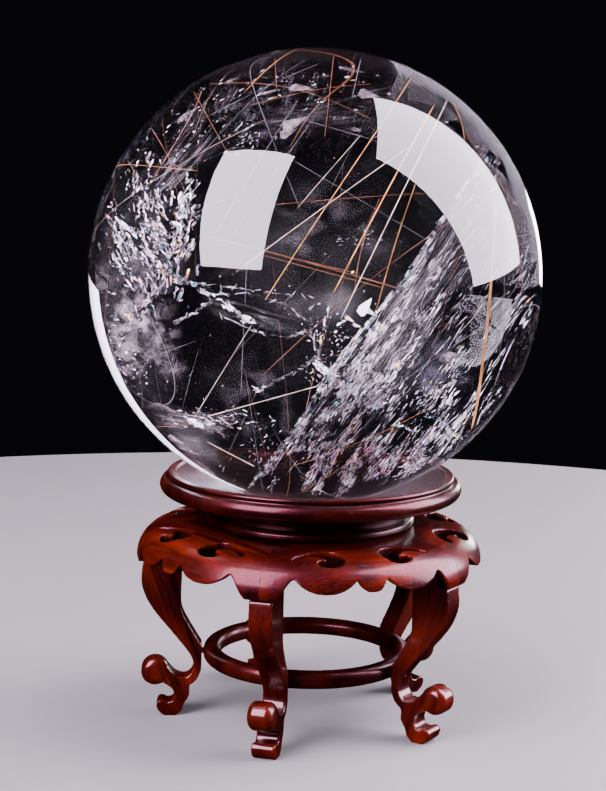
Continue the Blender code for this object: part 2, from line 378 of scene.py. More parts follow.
def blend_colours(tree, place, factor, first, second, mode="MIX"):
    made = node(tree, "ShaderNodeMix", place, data_type="RGBA", blend_type=mode)
    for socket, value in zip((made.inputs[0], made.inputs[6], made.inputs[7]), (factor, first, second)):
        if isinstance(value, (int, float)):
            socket.default_value = value
        elif isinstance(value, tuple):
            socket.default_value = (*value, 1.0)
        else:
            tree.links.new(value, socket)
    return made.outputs[2]


def stretched_noise(tree, place, vector, stretch, detail, distortion=0.0):
    """Noise drawn out along one axis. Returns the noise's value."""
    mapping = node(tree, "ShaderNodeMapping", place)
    mapping.inputs["Scale"].default_value = stretch
    tree.links.new(vector, mapping.inputs["Vector"])
    made = node(tree, "ShaderNodeTexNoise", (place[0] + 180, place[1]))
    set_inputs(made, Scale=1.0, Detail=detail, Distortion=distortion)
    tree.links.new(mapping.outputs[0], made.inputs["Vector"])
    return made.outputs["Fac"]


PORE_COLOUR = (0.004, 0.0006, 0.0004)
KNOT_COLOUR = (0.007, 0.0016, 0.0022)
# Painted shade: a near-black colour laid on the fretwork's inner walls, where little light reaches.
FRET_PAINTED_SHADE_COLOUR = (0.0016, 0.0004, 0.0004)
FRET_SHADE_DEPTH = 1.6 * MM


def wood_group():
    """Figure of a red, open-pored wood, its grain along X, in metres, with painted shade in its hollows and
    rubbed, lighter crests.
    """
    if "red_wood_figure" in bpy.data.node_groups:
        return bpy.data.node_groups["red_wood_figure"]
    tree, inside, outside = new_group(
        "red_wood_figure",
        {"Vector": "Vector", "Dark": "Color", "Middle": "Color", "Light": "Color", "Worn": "Float"},
        {"Color": "Color", "Roughness": "Float", "Height": "Float"})
    vector = inside.outputs["Vector"]

    bands = stretched_noise(tree, (-1150, 400), vector, (30, 420, 300), 4.0, 0.6)
    fibres = stretched_noise(tree, (-1150, 150), vector, (90, 2600, 2600), 3.0)
    clouds = stretched_noise(tree, (-1150, -100), vector, (45, 70, 70), 2.0)
    pores = stretched_noise(tree, (-1150, -350), vector, (420, 4200, 4200), 1.0)
    marks = stretched_noise(tree, (-1150, -600), vector, (1500, 160, 160), 2.0)

    body = ramp(tree, (-700, 400), [(0.30, grey(0)), (0.44, grey(0.45)), (0.55, grey(0.75)), (0.72, grey(1))])
    tree.links.new(bands, body.inputs[0])
    low = blend_colours(tree, (-350, 500), body.outputs[0], inside.outputs["Dark"], inside.outputs["Middle"])
    lift = ramp(tree, (-700, 100), [(0.40, grey(0)), (0.68, grey(1))])
    tree.links.new(clouds, lift.inputs[0])
    raised = maths(tree, (-350, 250), "MULTIPLY", body.outputs[0], lift.outputs[0])
    tone = blend_colours(tree, (-100, 400), raised, low, inside.outputs["Light"])
    threads = ramp(tree, (-700, -120), [(0.32, grey(0.62)), (0.55, grey(1.0)), (0.75, grey(1.18))])
    tree.links.new(fibres, threads.inputs[0])
    threaded = blend_colours(tree, (150, 350), 1.0, tone, threads.outputs[0], "MULTIPLY")
    pits = ramp(tree, (-700, -380), [(0.30, grey(0)), (0.37, grey(1))])
    tree.links.new(pores, pits.inputs[0])
    pitted = blend_colours(tree, (400, 300), pits.outputs[0], PORE_COLOUR, threaded)

    shape = node(tree, "ShaderNodeNewGeometry", (-350, -500))
    edges = ramp(tree, (-100, -500), [(0.47, grey(0)), (0.50, grey(0.5)), (0.54, grey(1))])
    tree.links.new(shape.outputs["Pointiness"], edges.inputs[0])
    # Painted shade: hollows, where Pointiness is low, are darkened down to 0.35 of their colour.
    hollow_shade = ramp(tree, (180, -450), [(0.0, grey(0.35)), (0.5, grey(1.0))])
    tree.links.new(edges.outputs[0], hollow_shade.inputs[0])
    shaded = blend_colours(tree, (650, 250), 1.0, pitted, hollow_shade.outputs[0], "MULTIPLY")
    crest = ramp(tree, (180, -700), [(0.62, grey(0)), (1.0, grey(1))])
    tree.links.new(edges.outputs[0], crest.inputs[0])
    rubbed = maths(tree, (450, -700), "MULTIPLY", crest.outputs[0], inside.outputs["Worn"])
    final = blend_colours(tree, (900, 200), rubbed, shaded, inside.outputs["Light"])
    tree.links.new(final, outside.inputs["Color"])

    rough = ramp(tree, (650, -100), [(0.0, grey(0.62)), (1.0, grey(0.28))])
    tree.links.new(pits.outputs[0], rough.inputs[0])
    tree.links.new(rough.outputs[0], outside.inputs["Roughness"])
    grain = maths(tree, (650, -300), "MULTIPLY", fibres, 0.35)
    filed = maths(tree, (650, -450), "MULTIPLY", marks, 0.5)
    both = maths(tree, (850, -350), "ADD", grain, filed)
    height = maths(tree, (1050, -300), "ADD", both, pits.outputs[0])
    tree.links.new(height, outside.inputs["Height"])
    return tree


def knot_group():
    """A small dark knot: how much of it shows at a place."""
    if "wood_knot" in bpy.data.node_groups:
        return bpy.data.node_groups["wood_knot"]
    tree, inside, outside = new_group(
        "wood_knot", {"Vector": "Vector", "Centre": "Vector", "Radius": "Float"}, {"Mask": "Float"})
    apart = node(tree, "ShaderNodeVectorMath", (-450, 0), operation="DISTANCE")
    tree.links.new(inside.outputs["Vector"], apart.inputs[0])
    tree.links.new(inside.outputs["Centre"], apart.inputs[1])
    share = maths(tree, (-200, 0), "DIVIDE", apart.outputs["Value"], inside.outputs["Radius"])
    mask = ramp(tree, (50, 0), [(0.0, grey(0.35)), (0.2, grey(0.9)), (0.35, grey(0.7)), (0.6, grey(0.95)),
                                (1.0, grey(0))])
    tree.links.new(share, mask.inputs[0])
    tree.links.new(mask.outputs[0], outside.inputs["Mask"])
    return tree


def fret_shade_group():
    """The fretwork's inner walls, given painted shade and less lacquer: how far a place lies under the
    apron's outer surface.
    """
    if "fretwork_painted_shade" in bpy.data.node_groups:
        return bpy.data.node_groups["fretwork_painted_shade"]
    tree, inside, outside = new_group("fretwork_painted_shade", {"Vector": "Vector"}, {"Mask": "Float"})
    apart = node(tree, "ShaderNodeSeparateXYZ", (-900, 0))
    tree.links.new(inside.outputs["Vector"], apart.inputs[0])
    flat = node(tree, "ShaderNodeCombineXYZ", (-700, 0))
    tree.links.new(apart.outputs[0], flat.inputs[0])
    tree.links.new(apart.outputs[1], flat.inputs[1])
    radius = node(tree, "ShaderNodeVectorMath", (-500, 0), operation="LENGTH")
    tree.links.new(flat.outputs[0], radius.inputs[0])
    past = maths(tree, (-300, 0), "SUBTRACT", radius.outputs["Value"], SHOULDER_AT[0] * MM)
    beyond = maths(tree, (-150, 0), "MAXIMUM", past, 0.0)
    above = maths(tree, (-300, -200), "SUBTRACT", apart.outputs[2], SHOULDER_AT[1] * MM)
    reach = node(tree, "ShaderNodeCombineXYZ", (0, 0))
    tree.links.new(beyond, reach.inputs[0])
    tree.links.new(above, reach.inputs[1])
    length = node(tree, "ShaderNodeVectorMath", (150, 0), operation="LENGTH")
    tree.links.new(reach.outputs[0], length.inputs[0])
    below = maths(tree, (300, 0), "SUBTRACT", SHOULDER_ROUND * MM, length.outputs["Value"])
    share = maths(tree, (450, 0), "DIVIDE", below, FRET_SHADE_DEPTH)
    mask = ramp(tree, (600, 0), [(0.15, grey(0)), (0.7, grey(1))])
    tree.links.new(share, mask.inputs[0])
    tree.links.new(mask.outputs[0], outside.inputs["Mask"])
    return tree


def lacquered_wood(name, turn, offset=(0, 0, 0), lean=None, tone=1.0, worn=0.25, knot=None, lacquer=0.09,
                   fret_shade=False):
    """Lacquered red wood, its grain along the tangent at a turn about Z, or along a leaning upright. A knot
    is a place and a radius, and the fretwork flag lays painted shade on the fretwork's inner walls and thins
    their lacquer."""
    wood = bpy.context.scene.wood_settings
    material, tree = new_material(name)
    place = node(tree, "ShaderNodeTexCoord", (-1500, 0))
    turned = node(tree, "ShaderNodeMapping", (-1300, 0))
    set_inputs(turned, Rotation=(0, 0, -turn), Location=offset)
    tree.links.new(place.outputs["Object"], turned.inputs["Vector"])
    vector = turned.outputs[0]
    if lean is not None:
        upright = node(tree, "ShaderNodeMapping", (-1100, 0))
        set_inputs(upright, Rotation=(lean, math.pi / 2, 0))
        tree.links.new(vector, upright.inputs["Vector"])
        vector = upright.outputs[0]
    figure = node(tree, "ShaderNodeGroup", (-850, 0), node_tree=wood_group())
    for key, colour in (("Dark", wood.dark), ("Middle", wood.middle), ("Light", wood.light)):
        figure.inputs[key].default_value = (*(channel * tone for channel in colour), 1.0)
    figure.inputs["Worn"].default_value = worn
    tree.links.new(vector, figure.inputs["Vector"])
    colour = figure.outputs["Color"]
    if knot:
        eye = node(tree, "ShaderNodeGroup", (-850, -400), node_tree=knot_group())
        eye.inputs["Centre"].default_value = knot[0]
        eye.inputs["Radius"].default_value = knot[1]
        tree.links.new(place.outputs["Object"], eye.inputs["Vector"])
        colour = blend_colours(tree, (-500, 100), eye.outputs["Mask"], colour, KNOT_COLOUR)
    # Painted shade on the fretwork's inner walls: they are darkened towards near-black below the outer
    # surface.
    if fret_shade:
        fret_shade_mask = node(tree, "ShaderNodeGroup", (-850, 300), node_tree=fret_shade_group())
        tree.links.new(place.outputs["Object"], fret_shade_mask.inputs["Vector"])
        colour = blend_colours(tree, (-500, 300), fret_shade_mask.outputs["Mask"], colour, FRET_PAINTED_SHADE_COLOUR)
    bump = node(tree, "ShaderNodeBump", (-500, -250))
    set_inputs(bump, Strength=0.5, Distance=0.03 * MM)
    tree.links.new(figure.outputs["Height"], bump.inputs["Height"])
    shader = node(tree, "ShaderNodeBsdfPrincipled", (-200, 0))
    set_inputs(shader, Coat_Weight=lacquer, Coat_Roughness=wood.gloss, Coat_IOR=1.5, IOR=1.5)
    shader.inputs["Specular Tint"].default_value = (*wood.sheen, 1.0)
    if fret_shade:
        polished = maths(tree, (-400, 450), "SUBTRACT", 1.0, fret_shade_mask.outputs["Mask"])
        tree.links.new(maths(tree, (-300, 450), "MULTIPLY", polished, lacquer), shader.inputs["Coat Weight"])
    tree.links.new(colour, shader.inputs["Base Color"])
    tree.links.new(figure.outputs["Roughness"], shader.inputs["Roughness"])
    tree.links.new(bump.outputs[0], shader.inputs["Normal"])
    show(tree, shader)
    return material


def raw_wood():
    """Plain pale dowel wood, grain along the rod."""
    material, tree = new_material("raw_dowel_wood")
    place = node(tree, "ShaderNodeTexCoord", (-900, 0))
    streaks = stretched_noise(tree, (-700, 0), place.outputs["Object"], (2400, 2400, 200), 3.0)
    tone = ramp(tree, (-300, 0), [(0.3, (0.26, 0.13, 0.06)), (0.7, (0.50, 0.30, 0.16))])
    tree.links.new(streaks, tone.inputs[0])
    shader = node(tree, "ShaderNodeBsdfPrincipled", (0, 0))
    set_inputs(shader, Roughness=0.65)
    tree.links.new(tone.outputs[0], shader.inputs["Base Color"])
    show(tree, shader)
    return material


# ---------------------------------------------------------------- looking into the ball

def view_axes():
    """The camera's place, and its right, up and forward directions."""
    stage = bpy.context.scene.stage_settings
    turn = Matrix.Rotation(stage.camera_azimuth, 3, "Z")
    place = turn @ Vector((0, -stage.camera_distance, stage.camera_height))
    flat = math.cos(stage.camera_pitch)
    forward = turn @ Vector((-math.sin(stage.camera_yaw) * flat, math.cos(stage.camera_yaw) * flat,
                             -math.sin(stage.camera_pitch)))
    right = forward.cross(Vector((0, 0, 1))).normalized()
    up = right.cross(forward)
    roll = stage.camera_roll
    tilted_right = math.cos(roll) * right + math.sin(roll) * up
    return place, tilted_right, math.cos(roll) * up - math.sin(roll) * right, forward


# How near the ball's outline a seen place may lie, how near it shards are strewn, and the shares of the way
# through the ball between which depths are held.
FARTHEST_OUT = 0.97
RIM = 0.965
SHALLOWEST, DEEPEST = 0.03, 0.95


def seen_at(across, height, depth):
    """The point inside the ball that shows at (across, height), in radii of its outline as the camera sees
    it, at a share of the way from the front surface to the back."""
    place, right, up, _ = view_axes()
    to_ball = BALL_CENTRE - place
    distance = to_ball.length
    axis = to_ball / distance
    side = (right - axis * right.dot(axis)).normalized()
    rise = (up - axis * up.dot(axis)).normalized()
    spread = BALL_RADIUS / math.sqrt(distance ** 2 - BALL_RADIUS ** 2)
    reach = min(math.hypot(across, height), FARTHEST_OUT)
    scale = reach / max(math.hypot(across, height), 1e-9)
    ray = (axis + spread * scale * (across * side + height * rise)).normalized()
    along = ray.dot(to_ball)
    near = along - math.sqrt(max(along ** 2 - distance ** 2 + BALL_RADIUS ** 2, 0.0))
    entry = place + ray * near
    normal = (entry - BALL_CENTRE) / BALL_RADIUS
    ratio = 1 / bpy.context.scene.ball_settings.refraction
    facing = -normal.dot(ray)
    bent = ratio * ray + (ratio * facing - math.sqrt(1 - ratio ** 2 * (1 - facing ** 2))) * normal
    chord = -2 * bent.dot(entry - BALL_CENTRE)
    return entry + bent * chord * depth


def held_depth(depth):
    """A depth held clear of the ball's front and back surfaces."""
    return min(max(depth, SHALLOWEST), DEEPEST)


def inside_ball(point, margin=0.6 * MM):
    """The point, pulled in where it would stand out of the ball."""
    away = point - BALL_CENTRE
    most = BALL_RADIUS - margin
    return BALL_CENTRE + away * min(1.0, most / max(away.length, 1e-9))


def held_share(value):
    """The value, held between 0 and 1."""
    return max(0.0, min(1.0, value))


def any_way(dice, spread=1.0):
    """A heading drawn at random, or a nudge where the spread is small."""
    return Vector([dice.gauss(0, spread) for _ in range(3)])


def scatter(pattern, placings, name):
    """One mesh holding a copy of the pattern's mesh for each 4x4 placing."""
    count = len(pattern.data.vertices)
    base = np.empty(count * 3)
    pattern.data.vertices.foreach_get("co", base)
    base = np.c_[base.reshape(-1, 3), np.ones(count)]
    faces = [tuple(face.vertices) for face in pattern.data.polygons]
    points = np.concatenate([base @ np.array(placing).T for placing in placings])[:, :3]
    ends = [tuple(index + count * number for index in face)
            for number in range(len(placings)) for face in faces]
    mesh = bpy.data.meshes.new(name)
    mesh.from_pydata(points.tolist(), [], ends)
    mesh.update()
    obj = bpy.data.objects.new(name, mesh)
    bpy.context.scene.collection.objects.link(obj)
    bpy.data.objects.remove(pattern)
    return obj


def needle_pattern():
    """A six-sided needle along Z, one unit long and one across, with pointed ends."""
    deselect()
    bpy.ops.mesh.primitive_cylinder_add(vertices=6, radius=0.5, depth=0.92)
    obj = settle(bpy.context.object, "needle_pattern")
    for end in (1, -1):
        activate(obj)
        bpy.ops.object.mode_set(mode="EDIT")
        bpy.ops.mesh.select_all(action="DESELECT")
        leave_edit()
        for face in obj.data.polygons:
            face.select = face.normal.z * end > 0.9
        bpy.ops.object.mode_set(mode="EDIT")
        bpy.ops.mesh.extrude_region_move(TRANSFORM_OT_translate={"value": (0, 0, 0.04 * end)})
        bpy.ops.transform.resize(value=(0.25, 0.25, 1.0))
        leave_edit()
    return obj


def shard_pattern():
    """A thin splinter of crystal along X, one unit long, its normal along Z."""
    deselect()
    bpy.ops.mesh.primitive_ico_sphere_add(subdivisions=1, radius=0.5)
    obj = settle(bpy.context.object, "shard_pattern")
    edit(obj)
    bpy.ops.mesh.bisect(plane_co=(-0.33, 0, 0), plane_no=(-0.8, 0.5, 0.2), use_fill=True, clear_outer=True)
    leave_edit()
    tidy_surface(obj)
    return obj


def stand_along(start, end, width, thickness=None):
    """A placing that turns the Z needle to run from start to end."""
    along = end - start
    turn = along.to_track_quat("Z", "Y").to_matrix().to_4x4()
    size = Matrix.Diagonal((width, thickness or width, along.length, 1))
    return Matrix.Translation((start + end) / 2) @ turn @ size


def lay_flake(place, along, normal, length, width, thickness):
    """A placing that lays the X shard at a place, along a direction, facing a normal."""
    x_axis = along.normalized()
    z_axis = (normal - x_axis * normal.dot(x_axis)).normalized()
    y_axis = z_axis.cross(x_axis)
    turn = Matrix((x_axis, y_axis, z_axis)).transposed().to_4x4()
    return Matrix.Translation(place) @ turn @ Matrix.Diagonal((length, width, thickness, 1))


# Needles as (across, height, depth) of both ends, a width in mm and a bow in mm. Across and height are in
# radii of the ball's outline seen from the front; depth is the share of the way through the ball.
GOLD_NEEDLES = [
    ((0.78, 0.36, 0.30), (0.69, -0.67, 0.42), 1.70, 0.0),
    ((0.42, 0.87, 0.55), (-0.22, -0.10, 0.35), 0.42, 0.3),
    ((0.52, 0.75, 0.62), (0.08, -0.07, 0.55), 0.62, 0.0),
    ((0.44, 0.41, 0.50), (0.27, -0.14, 0.62), 0.50, 0.4),
    ((0.17, -0.62, 0.35), (0.07, -0.84, 0.30), 0.55, 0.0),
    ((-0.07, -0.96, 0.40), (0.18, -0.80, 0.35), 0.30, 0.0),
    ((-0.07, -0.88, 0.20), (0.05, -0.96, 0.30), 0.30, 0.0),
    ((0.62, 0.80, 0.50), (0.66, 0.52, 0.72), 0.30, 0.0),
]
PALE_NEEDLES = [
    ((0.46, 0.60, 0.30), (-0.35, 0.02, 0.16), 0.38, 0.0),
    ((0.58, 0.78, 0.45), (0.11, -0.19, 0.40), 0.38, 0.0),
    ((-0.28, -0.21, 0.22), (-0.54, -0.63, 0.30), 0.40, 0.0),
    ((-0.49, -0.62, 0.55), (0.02, -0.48, 0.60), 0.52, 0.0),
    ((-0.48, -0.73, 0.50), (-0.27, -0.84, 0.55), 0.52, 0.0),
    ((-0.08, 0.30, 0.30), (0.20, 0.62, 0.34), 0.22, 0.0),
]
COPPER_NEEDLES = [
    ((0.58, 0.37, 0.30), (-0.23, 0.31, 0.24), 0.42, 0.0),
    ((-0.50, 0.18, 0.45), (0.36, -0.05, 0.60), 1.30, 0.2),
    ((-0.44, 0.15, 0.47), (0.30, -0.05, 0.62), 0.70, 0.0),
    ((-0.47, 0.17, 0.42), (0.20, 0.01, 0.55), 0.60, 0.0),
    ((0.28, 0.34, 0.70), (0.17, -0.07, 0.72), 0.55, 0.5),
    ((0.08, 0.97, 0.50), (0.04, 0.61, 0.30), 0.38, 0.0),
    ((0.17, 0.91, 0.75), (-0.11, 0.57, 0.85), 0.45, 0.8),
    ((0.77, 0.36, 0.62), (-0.24, -0.44, 0.35), 0.34, 1.2),
    ((-0.46, 0.84, 0.50), (0.24, 0.69, 0.60), 0.36, 1.6),
    ((-0.54, 0.82, 0.40), (-0.38, 0.53, 0.25), 0.34, 0.0),
    ((-0.84, 0.52, 0.40), (-0.76, 0.39, 0.22), 0.34, 0.0),
    ((-0.73, 0.66, 0.50), (-0.57, 0.37, 0.35), 0.34, 0.0),
    ((-0.18, 0.97, 0.40), (-0.17, 0.82, 0.30), 0.34, 0.0),
    ((-0.50, 0.81, 0.60), (-0.74, 0.38, 0.50), 0.34, 0.3),
    ((-0.28, 0.75, 0.60), (0.24, 0.84, 0.50), 0.30, 0.4),
    ((0.25, 0.28, 0.66), (-0.05, -0.62, 0.70), 0.30, 0.8),
    ((0.60, 0.72, 0.55), (0.93, 0.28, 0.60), 0.28, 0.0),
    ((-0.86, -0.02, 0.45), (-0.66, 0.00, 0.50), 0.34, 0.0),
]
SILVER_NEEDLES = [
    ((0.20, 0.96, 0.40), (0.16, 0.78, 0.25), 0.26, 0.0),
    ((-0.53, 0.67, 0.50), (0.02, 0.93, 0.45), 0.22, 0.0),
    ((-0.07, 0.78, 0.35), (-0.45, 0.17, 0.20), 0.22, 0.0),
    ((0.00, 0.70, 0.30), (-0.42, 0.10, 0.24), 0.16, 0.0),
    ((-0.10, 0.51, 0.55), (0.49, 0.16, 0.45), 0.18, 0.0),
    ((-0.07, 0.69, 0.50), (0.64, 0.47, 0.40), 0.18, 0.0),
    ((-0.86, -0.41, 0.50), (-0.52, -0.28, 0.45), 0.20, 0.0),
    ((0.42, 0.86, 0.35), (0.60, 0.70, 0.25), 0.24, 0.0),
    ((-0.30, 0.10, 0.60), (-0.33, -0.52, 0.50), 0.16, 0.0),
]
# Ribs of the branching crack at the left: chains of (across, height, depth), and a width in mm.
CRACK_RIBS = [
    ([(-0.93, 0.27, 0.40), (-0.80, 0.12, 0.38), (-0.66, 0.02, 0.36), (-0.55, -0.03, 0.35)], 1.3),
    ([(-0.90, 0.22, 0.40), (-0.78, 0.08, 0.38), (-0.64, 0.00, 0.36)], 0.6),
    ([(-0.46, -0.08, 0.34), (-0.30, -0.07, 0.36), (-0.14, -0.12, 0.38), (-0.04, -0.19, 0.40)], 0.28),
    ([(-0.42, -0.17, 0.34), (-0.27, -0.24, 0.36), (-0.13, -0.27, 0.38), (-0.04, -0.24, 0.40)], 0.22),
    ([(-0.55, -0.03, 0.35), (-0.43, -0.10, 0.33), (-0.32, -0.18, 0.32), (-0.28, -0.20, 0.32)], 1.0),
    ([(-0.63, -0.02, 0.36), (-0.55, -0.03, 0.35), (-0.34, -0.05, 0.40), (-0.02, -0.09, 0.45)], 0.5),
    ([(-0.45, -0.10, 0.34), (-0.54, -0.16, 0.38), (-0.62, -0.20, 0.42)], 0.7),
    ([(-0.64, 0.06, 0.36), (-0.70, -0.04, 0.38), (-0.77, -0.15, 0.42)], 0.8),
    ([(-0.60, 0.20, 0.34), (-0.66, 0.02, 0.36), (-0.74, -0.12, 0.40)], 0.9),
    ([(-0.52, 0.42, 0.30), (-0.60, 0.22, 0.33), (-0.66, 0.08, 0.36)], 0.9),
    ([(0.00, -0.36, 0.36), (0.07, -0.44, 0.35), (0.14, -0.50, 0.34), (0.20, -0.56, 0.35)], 1.6),
    ([(0.20, -0.56, 0.35), (0.27, -0.58, 0.38), (0.33, -0.55, 0.42)], 0.9),
    ([(0.00, -0.36, 0.36), (-0.12, -0.44, 0.42), (-0.27, -0.50, 0.46)], 0.8),
    ([(-0.02, -0.12, 0.40), (-0.02, -0.24, 0.38), (0.02, -0.37, 0.36)], 0.6),
    ([(0.06, -0.12, 0.38), (0.03, -0.25, 0.36), (0.01, -0.37, 0.36)], 0.5),
    ([(0.33, -0.64, 0.45), (0.50, -0.70, 0.45), (0.66, -0.71, 0.45)], 0.6),
]


def crystal_needles(runs, slim, seed):
    """Needles between pairs of points, each of a few joined lengths where it bows."""
    dice = random.Random(seed)
    placings = []
    for first, last, width, bow in runs:
        start, end = seen_at(*first), seen_at(*last)
        side = (end - start).cross(Vector((0, 0, 1)).cross(end - start)).normalized()
        lengths = 8 if bow else 1
        points = [start.lerp(end, k / lengths) + side * bow * MM * math.sin(math.pi * k / lengths)
                  for k in range(lengths + 1)]
        for here, there in zip(points, points[1:]):
            reach = (there - here) * (0.03 if bow else 0.0)
            thin = dice.uniform(0.5, 0.9)
            across = slim * width * MM
            start_at, end_at = inside_ball(here - reach), inside_ball(there + reach)
            placings.append(stand_along(start_at, end_at, across, across * thin))
    return placings


def stray_needles(count, seed, widths):
    """Fine needles that cross the ball in a few shared directions."""
    dice = random.Random(seed)
    families = [Vector((0.45, 0.25, 0.86)), Vector((0.9, -0.3, 0.3)), Vector((-0.3, 0.75, 0.6)),
                Vector((0.2, -0.6, 0.78))]
    placings = []
    for _ in range(count):
        heading = (dice.choice(families) + any_way(dice, 0.22)).normalized()
        middle = BALL_CENTRE + Vector([dice.uniform(-0.75, 0.75) * BALL_RADIUS for _ in range(3)])
        half = dice.uniform(0.12, 0.45) * BALL_RADIUS
        start, end = inside_ball(middle - heading * half), inside_ball(middle + heading * half)
        if (end - start).length > 2 * MM:
            width = dice.uniform(*widths) * MM
            placings.append(stand_along(start, end, width))
    return placings


# ---------------------------------------------------------------- crystal materials

def sparkle_group():
    """Broken quartz: each splinter gets its own brightness, tint and gloss."""
    if "broken_quartz" in bpy.data.node_groups:
        return bpy.data.node_groups["broken_quartz"]
    tree, inside, outside = new_group(
        "broken_quartz", {"Vector": "Vector", "Scale": "Float", "Mirror": "Float", "Rainbow": "Float"},
        {"Color": "Color", "Metallic": "Float", "Roughness": "Float"})
    cells = node(tree, "ShaderNodeTexVoronoi", (-650, 0))
    tree.links.new(inside.outputs["Vector"], cells.inputs["Vector"])
    tree.links.new(inside.outputs["Scale"], cells.inputs["Scale"])
    parts = node(tree, "ShaderNodeSeparateColor", (-400, 0))
    tree.links.new(cells.outputs["Color"], parts.inputs[0])
    hues = ramp(tree, (-150, 200), [
        (0.0, (0.25, 0.45, 0.95)), (0.2, (0.35, 0.85, 0.80)), (0.4, (0.95, 0.85, 0.30)),
        (0.6, (0.98, 0.50, 0.20)), (0.8, (0.95, 0.35, 0.60)), (1.0, (0.55, 0.40, 0.95))])
    tree.links.new(parts.outputs[1], hues.inputs[0])
    picked = maths(tree, (-150, 0), "LESS_THAN", parts.outputs[2], inside.outputs["Rainbow"])
    tones = ramp(tree, (-150, -150), [
        (0.0, (0.015, 0.014, 0.016)), (0.55, (0.14, 0.125, 0.14)), (0.80, (0.80, 0.76, 0.80)),
        (1.0, (1.0, 0.96, 1.0))])
    tree.links.new(parts.outputs[0], tones.inputs[0])
    colour = blend_colours(tree, (300, 100), picked, tones.outputs[0], hues.outputs[0])
    tree.links.new(colour, outside.inputs["Color"])
    mirror = maths(tree, (300, -100), "LESS_THAN", parts.outputs[1], inside.outputs["Mirror"])
    tree.links.new(mirror, outside.inputs["Metallic"])
    rough = maths(tree, (300, -300), "MULTIPLY_ADD", parts.outputs[0], 0.25)
    rough.node.inputs[2].default_value = 0.10
    tree.links.new(rough, outside.inputs["Roughness"])
    return tree


def broken_quartz(name, scale, mirror, rainbow):
    """Splinters of quartz, a share of them bright like mirrors and a share tinted like a rainbow."""
    material, tree = new_material(name)
    place = node(tree, "ShaderNodeTexCoord", (-700, 0))
    flakes = node(tree, "ShaderNodeGroup", (-450, 0), node_tree=sparkle_group())
    set_inputs(flakes, Scale=scale, Mirror=mirror, Rainbow=rainbow)
    tree.links.new(place.outputs["Object"], flakes.inputs["Vector"])
    shader = node(tree, "ShaderNodeBsdfPrincipled", (-100, 0))
    for key, socket in (("Color", "Base Color"), ("Metallic", "Metallic"), ("Roughness", "Roughness")):
        tree.links.new(flakes.outputs[key], shader.inputs[socket])
    show(tree, shader)
    return material


def veil_group():
    """Where a healed crack shows: drawn-out streaks and clouds that fade at the sheet's edges."""
    if "healed_crack" in bpy.data.node_groups:
        return bpy.data.node_groups["healed_crack"]
    tree, inside, outside = new_group(
        "healed_crack", {"Sheet": "Vector", "Streaks across": "Float", "Streaks along": "Float",
                         "Density": "Float", "Softness": "Float", "Body": "Float", "Edge": "Float"},
        {"Alpha": "Float"})
    stretch = node(tree, "ShaderNodeCombineXYZ", (-1100, -200))
    tree.links.new(inside.outputs["Streaks along"], stretch.inputs[0])
    tree.links.new(inside.outputs["Streaks across"], stretch.inputs[1])
    drawn = node(tree, "ShaderNodeVectorMath", (-900, 0), operation="MULTIPLY")
    tree.links.new(inside.outputs["Sheet"], drawn.inputs[0])
    tree.links.new(stretch.outputs[0], drawn.inputs[1])
    streaks = node(tree, "ShaderNodeTexNoise", (-700, 150))
    set_inputs(streaks, Scale=1.0, Detail=5.0, Roughness=0.62, Distortion=0.5)
    tree.links.new(drawn.outputs[0], streaks.inputs["Vector"])
    clouds = node(tree, "ShaderNodeTexNoise", (-700, -150))
    set_inputs(clouds, Scale=4.0, Detail=3.0, Roughness=0.55)
    tree.links.new(inside.outputs["Sheet"], clouds.inputs["Vector"])
    middle = maths(tree, (-550, 300), "SUBTRACT", 0.56, inside.outputs["Softness"])
    above = maths(tree, (-400, 300), "SUBTRACT", streaks.outputs[0], middle)
    whole = maths(tree, (-400, 150), "MULTIPLY", inside.outputs["Softness"], 2.0)
    lines = maths(tree, (-250, 150), "DIVIDE", above, whole)
    lines.node.use_clamp = True
    drift = ramp(tree, (-450, -150), [(0.36, grey(0)), (0.62, grey(1))])
    tree.links.new(clouds.outputs[0], drift.inputs[0])
    shown = maths(tree, (-100, 50), "MULTIPLY", lines, drift.outputs[0])
    strength = maths(tree, (50, 50), "MULTIPLY", shown, inside.outputs["Density"])
    dense = maths(tree, (200, 50), "ADD", strength, inside.outputs["Body"])
    dense.node.use_clamp = True
    apart = node(tree, "ShaderNodeSeparateXYZ", (-900, -450))
    tree.links.new(inside.outputs["Sheet"], apart.inputs[0])
    inner = None
    for row, socket in enumerate((apart.outputs[0], apart.outputs[1])):
        other = maths(tree, (-700, -450 - 120 * row), "SUBTRACT", 1.0, socket)
        near = maths(tree, (-500, -450 - 120 * row), "MINIMUM", socket, other)
        inner = near if inner is None else maths(tree, (-300, -450), "MINIMUM", inner, near)
    faded = maths(tree, (-100, -450), "DIVIDE", inner, inside.outputs["Edge"])
    limit = node(tree, "ShaderNodeClamp", (100, -450))
    tree.links.new(faded, limit.inputs[0])
    soft = maths(tree, (250, -450), "POWER", limit.outputs[0], 2.2)
    alpha = maths(tree, (400, 0), "MULTIPLY", dense, soft)
    tree.links.new(alpha, outside.inputs["Alpha"])
    return tree


FADED_EDGE = 0.42


def healed_crack(name, colour, across, along, density, softness, body):
    """A healed crack: a thin sheet that shows only where its streaks and clouds do."""
    material, tree = new_material(name)
    place = node(tree, "ShaderNodeTexCoord", (-700, 0))
    crack = node(tree, "ShaderNodeGroup", (-450, 0), node_tree=veil_group())
    for key, value in (("Streaks across", across), ("Streaks along", along), ("Density", density),
                       ("Softness", softness), ("Body", body), ("Edge", FADED_EDGE)):
        crack.inputs[key].default_value = value
    tree.links.new(place.outputs["UV"], crack.inputs["Sheet"])
    shader = node(tree, "ShaderNodeBsdfPrincipled", (-100, 0))
    set_inputs(shader, Roughness=0.45)
    shader.inputs["Base Color"].default_value = (*colour, 1.0)
    tree.links.new(crack.outputs["Alpha"], shader.inputs["Alpha"])
    show(tree, shader)
    return material


